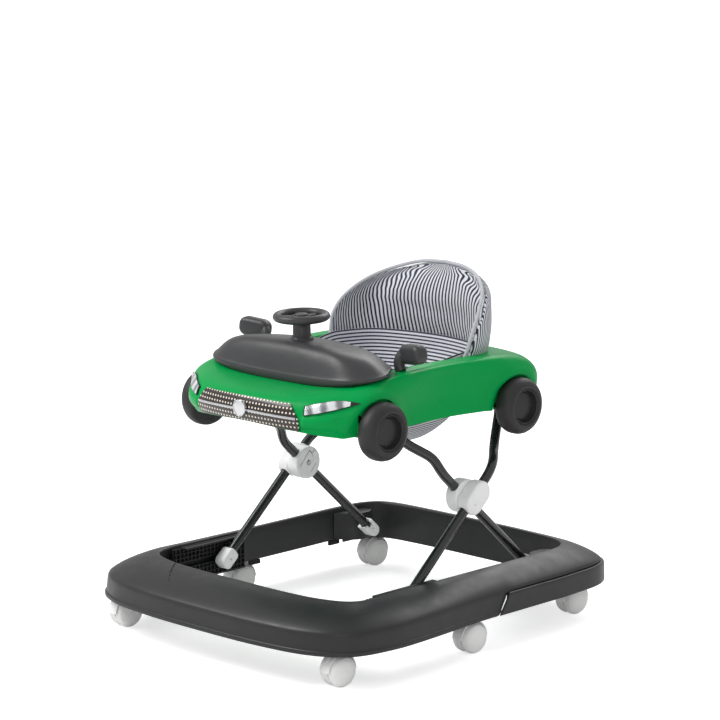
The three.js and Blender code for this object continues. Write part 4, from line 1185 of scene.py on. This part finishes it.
def build_hood():
    rows = hood_rows(HOOD_PROFILE)
    inner = rows - grid_normals(rows) * HOOD_WALL
    count, columns = len(rows) * rows.shape[1], rows.shape[1]
    faces = grid_faces(len(rows), columns)
    faces += [tuple(count + v for v in reversed(face)) for face in faces]
    for c in range(columns):
        right = (c + 1) % columns
        faces.append((c, right, count + right, count + c))
    last = (len(rows) - 1) * columns
    for base in (last, count + last):
        faces.append(tuple(base + c for c in range(columns)))
    points = [*rows.reshape(-1, 3), *inner.reshape(-1, 3)]
    return smoothed(new_object("hood", points, faces), 50)


def build_mirror():
    """A rounded pod with a flat inset face towards the front, on a curved stem."""
    turn = Matrix.Rotation(math.radians(-90), 4, "Z")
    pod = moved(plate("pod", rounded_box_outline(56, 31, 13, 10), (-12, 12), 8, 8), turn)
    inset = moved(plate("inset", rounded_box_outline(45, 21, 9, 8), (0, 4), 0.6, 2), turn)
    pod = cut(pod, moved(inset, shift(0, -10.6 - 2.5, 0)))
    place = shift(178.5, -52, 475) @ Matrix.Rotation(-0.25, 4, "Z")
    place = place @ Matrix.Rotation(math.radians(-6), 4, "Y")
    start, bend, end = np.array([(157, -56, 445.5), (144, -57, 463), (161, -49, 478)], float)
    path = [(1 - t) ** 2 * start + 2 * t * (1 - t) * bend + t * t * end for t in np.linspace(0, 1, 14)]
    stem = sweep("stem", path, rounded_box_outline(15, 17, 6, 6))
    face = moved(plate("face", rounded_box_outline(44, 20, 8.5, 8), (0, 1.2), 0.4, 2), turn)
    face = smoothed(moved(face, place @ shift(0, -9.7, 0)), 35)
    return smoothed(joined("mirror", rounded(moved(pod, place), 0.5, 2, 40), stem), 35), face


def toy_wheel():
    r, w, x = TOY_WHEEL["radius"], TOY_WHEEL["width"], TOY_WHEEL["inner_x"]
    tyre = [
        (r - 12, 0.2), (r - 6, 1), (r - 2.4, 4), (r - 0.5, 8.5), (r, 14), (r - 0.2, 20), (r - 1.6, 25),
        (r - 4.4, 29.4), (r - 8, 32.4), (r - 12, 33.8), (r - 14.4, w), (r - 16, 33.3), (r - 17, 31.8),
    ]
    hub = [
        (29, 31), (28.2, 31.8), (27.2, 31.8), (26.4, 31), (25.4, 23), (24.6, 21.6), (23.4, 21.4),
        (22.4, 22.6), (21.4, 23.4), (12, 24), (0, 24.3),
    ]
    profile = [(radius, x + out) for radius, out in [(0, 0.2), (5.4, 0.2), *tyre, *hub]]
    return smoothed(turned("wheel", profile, 96), 34)


def add_car():
    add_piece(build_body(), "car_shell", "car", "body_green", GREEN, "car_body")
    add_piece(build_hangers(), "car_hangers", "car", "body_green", GREEN)
    for side, sign in SIDES.items():
        for end, (y, z) in TOY_WHEEL_PLACES.items():
            wall = moved(arch_wall(math.copysign(1, y)), shift(0, y, z))
            add_piece(on_side(wall, sign), f"arch_wall_{end}_{side}", "car", "body_green", GREEN)
            node = f"toy_wheel_{end}_{side}"
            wheel = moved(toy_wheel(), shift(0, y, z))
            add_piece(on_side(wheel, sign), f"play_wheel_{end}_{side}", node, "toy_tyre", TYRE, node)
        mirror, face = (on_side(piece, sign) for piece in build_mirror())
        add_piece(mirror, f"side_mirror_{side}", "car", "hood_grey", HOOD_GREY, f"mirror_{side}")
        add_piece(face, f"mirror_face_{side}", "car", "hood_grey", MIRROR_FACE)
    add_front_trim()
    add_piece(build_hood(), "hood", "car", "hood_grey", HOOD_GREY, "hood_tray")


# Steering wheel


def tilted(obj):
    """A steering piece, built about the rim's middle, in its place."""
    place = shift(0, STEERING["y"], STEERING["rim_z"])
    return moved(obj, place @ Matrix.Rotation(STEERING["tilt"], 4, "X"))


def upright(profile, segments=64):
    """A turned solid with its axis along Z, from a list of (radius, z)."""
    return moved(turned("turned", profile, segments), Matrix.Rotation(math.radians(-90), 4, "Y"))


def build_steering_wheel():
    radius, thick = STEERING["rim_radius"], STEERING["rim_thickness"]
    section = [(radius + thick * math.cos(b), thick * 0.94 * math.sin(b))
               for b in np.linspace(0, 2 * math.pi, 28, endpoint=False)]
    rows = [[(reach * math.cos(a), reach * math.sin(a), z) for reach, z in section]
            for a in np.linspace(0, 2 * math.pi, 96, endpoint=False)]
    rim = ring_loft("rim", rows)
    hub = upright([(0, -11), (13.4, -11), (15, -9.6), (15, 0.8), (14.2, 2), (11.8, 2), (11.4, 1.6),
                   (11.4, -3), (7, -3.4), (6.9, -3.6), (0, -3.6)])
    spokes = []
    for angle in (90, 210, 330):
        spoke = moved(box((12, 35), (-6, 6), (-6.5, 0.5)), Matrix.Rotation(math.radians(angle), 4, "Z"))
        spokes.append(rounded(spoke, 2.2, 4))
    return smoothed(tilted(joined("steering", rim, hub, *spokes)), 35)


def build_column():
    shaft = [(0, -38), (14.6, -38), (14.2, -14), (13, -12), (6.6, -12), (6.6, -6.6), (0, -6.6)]
    collar = [(0, -44), (19, -44), (18.6, -36), (17.2, -33), (15.8, -31.6), (0, -31.6)]
    return smoothed(tilted(joined("column", upright(shaft), upright(collar))), 35)


def build_horn():
    profile = [(0, -1), (10.6, -1), (11, -0.6), (11, 3), (10.2, 4.2), (8, 4.5), (4, 4.9), (0, 5)]
    return smoothed(tilted(upright(profile)), 35)


def add_steering():
    add_piece(build_steering_wheel(), "steering_ring", "steering", "hood_grey", HOOD_GREY, "steering_wheel")
    add_piece(build_column(), "steering_post", "car", "hood_grey", HOOD_GREY, "steering_column")
    add_piece(build_horn(), "horn_cap", "horn", "hood_grey", HOOD_GREY, "horn_button")


# Seat


def backrest_section(z):
    """Half width, y of the middle and y of the front edge at a height."""
    table = np.array(BACKREST_LEVELS, float)
    half, middle_y, edge_y = (np.interp(z, table[:, 0], table[:, k]) for k in (1, 2, 3))
    return half, middle_y, edge_y


def quarter_length(wide, deep):
    """Length of a quarter of an ellipse."""
    return math.pi / 4 * (3 * (wide + deep) - np.sqrt((3 * wide + deep) * (wide + 3 * deep)))


def backrest_start(columns=64, levels=46):
    """The backrest's cover before it is filled: a hooped crescent."""
    sections = curve_through(BACKREST_LEVELS, np.linspace(0, 1, levels), closed=False)
    there = np.linspace(-1, 1, columns)
    back = np.linspace(1, -1, columns)
    rows = []
    for z, half, middle_y, edge_y in sections:
        half, middle_y = max(half, 1.0), max(middle_y, edge_y + 1.5)
        loop = []
        for thick, sides in ((0, there), (BACKREST_THICKNESS, back)):
            for side in sides:
                angle = side * math.pi / 2
                across = math.copysign(abs(math.sin(angle)) ** BACKREST_SQUARENESS, side)
                deep = max(math.cos(angle), 0) ** BACKREST_SQUARENESS
                x = (half + thick * 0.55) * across
                loop.append((x, edge_y + (middle_y + thick - edge_y) * deep, z))
        rows.append(loop)
    return closed_loft("backrest", rows)


def calmed(mesh, field, rounds=20):
    """A value at each point averaged with its neighbours', which takes out the small wrinkles."""
    ends = np.array([edge.vertices for edge in mesh.edges])
    neighbours = np.bincount(ends.ravel(), minlength=len(field))[:, None]
    for _ in range(rounds):
        total = np.zeros_like(field)
        np.add.at(total, ends[:, 0], field[ends[:, 1]])
        np.add.at(total, ends[:, 1], field[ends[:, 0]])
        field = (field + total / neighbours) / 2
    return field


def simulate(obj, frames, cap, pressure=0.0, gravity=0.0, pins=None):
    """Runs Cloth on the object and keeps each point within `cap` of where it started."""
    start = np.array([v.co for v in obj.data.vertices], float)
    cloth = obj.modifiers.new("cloth", "CLOTH")
    settings = cloth.settings
    settings.quality = 6
    settings.mass = 0.25
    settings.tension_stiffness = settings.compression_stiffness = 20
    settings.bending_stiffness = 1.5
    settings.effector_weights.gravity = gravity
    if pressure:
        settings.use_pressure = True
        settings.uniform_pressure_force = pressure
    if pins is not None:
        group = obj.vertex_groups.new(name="held")
        for index, weight in enumerate(pins):
            group.add([index], float(weight), "REPLACE")
        settings.vertex_group_mass = "held"
    scene = bpy.context.scene
    for number in range(1, frames + 1):
        scene.frame_set(number)
    graph = bpy.context.evaluated_depsgraph_get()
    result = obj.evaluated_get(graph)
    end = np.array([v.co for v in result.data.vertices], float)
    obj.modifiers.clear()
    obj.vertex_groups.clear()
    scene.frame_set(1)
    step = calmed(obj.data, end - start)
    length = np.linalg.norm(step, axis=1, keepdims=True)
    limit = cap * MM
    step *= limit * np.tanh(length / limit) / np.maximum(length, 1e-9)
    obj.data.vertices.foreach_set("co", (start + step).astype(np.float32).ravel())
    obj.data.update()
    return obj


def remeshed(obj, voxel):
    step = obj.modifiers.new("remesh", "REMESH")
    step.mode = "VOXEL"
    step.voxel_size = voxel * MM
    return apply_modifiers(obj)


def subdivided(obj):
    step = obj.modifiers.new("finer", "SUBSURF")
    step.levels = step.render_levels = 1
    return apply_modifiers(obj)


def backrest_across(points):
    """Length round the backrest from its middle, which the stripes count."""
    half, middle_y, edge_y = backrest_section(points[:, 2])
    deep = np.maximum(middle_y - edge_y, 4)
    angle = np.arctan2(points[:, 0] / np.maximum(half, 8), np.maximum((points[:, 1] - edge_y) / deep, 1e-3))
    _, widest_half, widest_middle, widest_edge = BACKREST_LEVELS[2]
    widest = quarter_length(widest_half, widest_middle - widest_edge)
    return angle / (math.pi / 2) * quarter_length(half, deep) ** 0.75 * widest ** 0.25


def hoop_path(lift=0.0, back=0.0):
    """The line of the piping round the backrest's front edge."""
    right = [(half, edge_y, z) for z, half, _, edge_y in
             curve_through(BACKREST_LEVELS, np.linspace(0, 1, 60), closed=False)]
    both = [*right, *[(-x, y, z) for x, y, z in right[-2::-1]]]
    centre = np.array([0, 0, 470.0])
    path = []
    for point in both:
        out = np.array([point[0] - centre[0], 0, max(point[2] - centre[2], 0)])
        out /= max(np.linalg.norm(out), 1e-6)
        path.append(np.array(point) + out * lift + np.array([0, back, 0]))
    return path


def pouch_levels(count):
    """Heights and spreads of the pouch from its rim to its bottom."""
    levels = [(0, 1), (0.3, 0.97), (0.58, 0.88), (0.8, 0.72), (0.94, 0.48), (1, 0.2)]
    return curve_through(levels, np.linspace(0, 1, count), closed=False)


def pouch_rim_height(y):
    """The rim climbs from under the hood to the foot of the backrest."""
    return POUCH["rim_z"] - 6 + 16 * smooth_step(np.asarray(y, float), -10, 110)


def pouch_sheet(columns=144, levels=46):
    rim = curve_through(mirrored_loop(POUCH_RIM), np.arange(columns) / columns)
    rows = []
    for depth, spread in pouch_levels(levels):
        x, y = rim[:, 0] * spread, POUCH["middle_y"] + (rim[:, 1] - POUCH["middle_y"]) * spread
        top = pouch_rim_height(rim[:, 1])
        rows.append(np.column_stack([x, y, top + (POUCH["bottom_z"] - top) * depth]))
    points = np.vstack(rows)
    faces = grid_faces(len(rows), columns)
    last = (len(rows) - 1) * columns
    faces.append(tuple(range(last, last + columns)))
    away = np.hypot(np.abs(points[:, 0]) - LEG_HOLE["x"], points[:, 2] - LEG_HOLE["z"])
    open_point = (points[:, 1] < POUCH["middle_y"] - 10) & (away < LEG_HOLE["radius"] - 1)
    faces = [face for face in faces if not any(open_point[v] for v in face)]
    sheet = new_object("pouch", points, faces)
    loose = bmesh.new()
    loose.from_mesh(sheet.data)
    bmesh.ops.delete(loose, geom=[v for v in loose.verts if not v.link_faces], context="VERTS")
    loose.to_mesh(sheet.data)
    loose.free()
    return sheet


def round_leg_holes(sheet):
    """Moves the edges of the leg holes onto circles."""
    mesh = bmesh.new()
    mesh.from_mesh(sheet.data)
    for vertex in mesh.verts:
        x, y, z = vertex.co / MM
        if not vertex.is_boundary or z > POUCH["rim_z"] - 12:
            continue
        middle = LEG_HOLE["x"] if x > 0 else -LEG_HOLE["x"]
        off = Vector((x - middle, 0, z - LEG_HOLE["z"]))
        off *= LEG_HOLE["radius"] / off.length
        vertex.co = Vector((middle + off.x, y, LEG_HOLE["z"] + off.z)) * MM
    mesh.to_mesh(sheet.data)
    mesh.free()
    return sheet


def thickened(obj, thickness, offset=-1.0):
    step = obj.modifiers.new("thick", "SOLIDIFY")
    step.thickness = thickness * MM
    step.offset = offset
    return apply_modifiers(obj)


def pouch_across(points):
    """Length down the pouch's wall from its rim."""
    table = pouch_levels(80)
    height = POUCH["rim_z"] - POUCH["bottom_z"]
    drop = height * table[:, 0]
    reach = 120 * (1 - table[:, 1])
    length = np.concatenate([[0], np.cumsum(np.hypot(np.diff(drop), np.diff(reach)))])
    top = pouch_rim_height(points[:, 1])
    share = np.clip((top - points[:, 2]) / (top - POUCH["bottom_z"]), -0.1, 1)
    return np.interp(share, table[:, 0], length) + np.minimum(share, 0) * height


def around_middle(points):
    return np.arctan2(points[:, 0], points[:, 1] - POUCH["middle_y"]) * POUCH["radius"]


def add_seat():
    pad = remeshed(backrest_start(), 5.0)
    pad = simulate(pad, 20, 5.0, pressure=4.0)
    pad = smoothed(subdivided(pad), 70)
    cloth_place(pad, backrest_across, lambda p: p[:, 2])
    add_piece(pad, "backrest_pad", "car", "seat_fabric", STRIPED, "seat_backrest")

    piping = sweep("piping", hoop_path(2.0, -1.0), round_outline(3.0, 14))
    cloth_place(piping, lambda p: p[:, 2], lambda p: p[:, 0])
    add_piece(smoothed(piping, 50), "backrest_piping", "car", "seat_fabric", PIPING)

    sheet = round_leg_holes(pouch_sheet())
    top = np.array([v.co.z for v in sheet.data.vertices]) / MM
    held = smooth_step(top, 410, 432)
    sheet = simulate(sheet, 20, 6.0, gravity=0.6, pins=held)
    sheet = smoothed(subdivided(thickened(sheet, 3.4)), 70)
    cloth_place(sheet, pouch_across, around_middle)
    add_piece(sheet, "seat_sling", "car", "seat_fabric", STRIPED_FINE, "seat_pouch")


# Floor, light and camera


# Studio


def build_floor():
    """A pale floor that glows a little to the camera alone, so that it fades into the white room."""
    made, add = material("pale floor")
    shade = mixed(add, noise(add, 3, 2).outputs["Fac"], colour(250, 250, 250), colour(253, 253, 253))
    finish = {"Base Color": shade, "Roughness": 0.9}
    plain = add("ShaderNodeBsdfPrincipled", finish)
    glow = {"Emission Color": (1, 1, 1, 1), "Emission Strength": FLOOR_GLOW}
    glowing = add("ShaderNodeBsdfPrincipled", {**finish, **glow})
    seen = add("ShaderNodeLightPath").outputs["Is Camera Ray"]
    finished(add, add("ShaderNodeMixShader", {0: seen, 1: plain.outputs[0], 2: glowing.outputs[0]}))
    corners = [(x * FLOOR_REACH, y * FLOOR_REACH, 0) for x, y in ((-1, -1), (1, -1), (1, 1), (-1, 1))]
    floor = new_object("floor", corners, [(0, 1, 2, 3)])
    floor.data.materials.append(made)


def build_room():
    """An even white room, brighter to the camera than it is as a light."""
    world = bpy.data.worlds.new("studio")
    world.use_nodes = True
    tree = world.node_tree
    light = tree.nodes["Background"]
    sky = tree.nodes.new("ShaderNodeBackground")
    for background, strength in ((light, ROOM_LIGHT), (sky, ROOM_SEEN)):
        background.inputs["Color"].default_value = (1, 1, 1, 1)
        background.inputs["Strength"].default_value = strength
    ray = tree.nodes.new("ShaderNodeLightPath")
    both = tree.nodes.new("ShaderNodeMixShader")
    tree.links.new(ray.outputs["Is Camera Ray"], both.inputs[0])
    tree.links.new(light.outputs[0], both.inputs[1])
    tree.links.new(sky.outputs[0], both.inputs[2])
    tree.links.new(both.outputs[0], tree.nodes["World Output"].inputs["Surface"])
    bpy.context.scene.world = world
    bpy.context.scene.view_settings.view_transform = "Standard"


def aim(obj, place, target):
    """Puts a light or camera in its place, looking at the target."""
    bpy.context.scene.collection.objects.link(obj)
    obj.location = place
    obj.rotation_euler = (Vector(target) - Vector(place)).to_track_quat("-Z", "Y").to_euler()


def add_light(name, place, size, power):
    data = bpy.data.lights.new(name, "AREA")
    data.shape = "RECTANGLE"
    data.size, data.size_y = size
    data.energy = power
    aim(bpy.data.objects.new(name, data), place, LIGHTS_TARGET)


def add_camera():
    data = bpy.data.cameras.new("camera")
    data.lens = CAMERA["lens"]
    data.sensor_width = 36
    camera = bpy.data.objects.new("camera", data)
    aim(camera, CAMERA["place"], CAMERA["target"])
    bpy.context.scene.camera = camera


add_base()
add_casters()
add_frame()
add_car()
add_steering()
add_seat()
build_floor()
build_room()
for light_name, light in LIGHTS.items():
    add_light(light_name, **light)
add_camera()
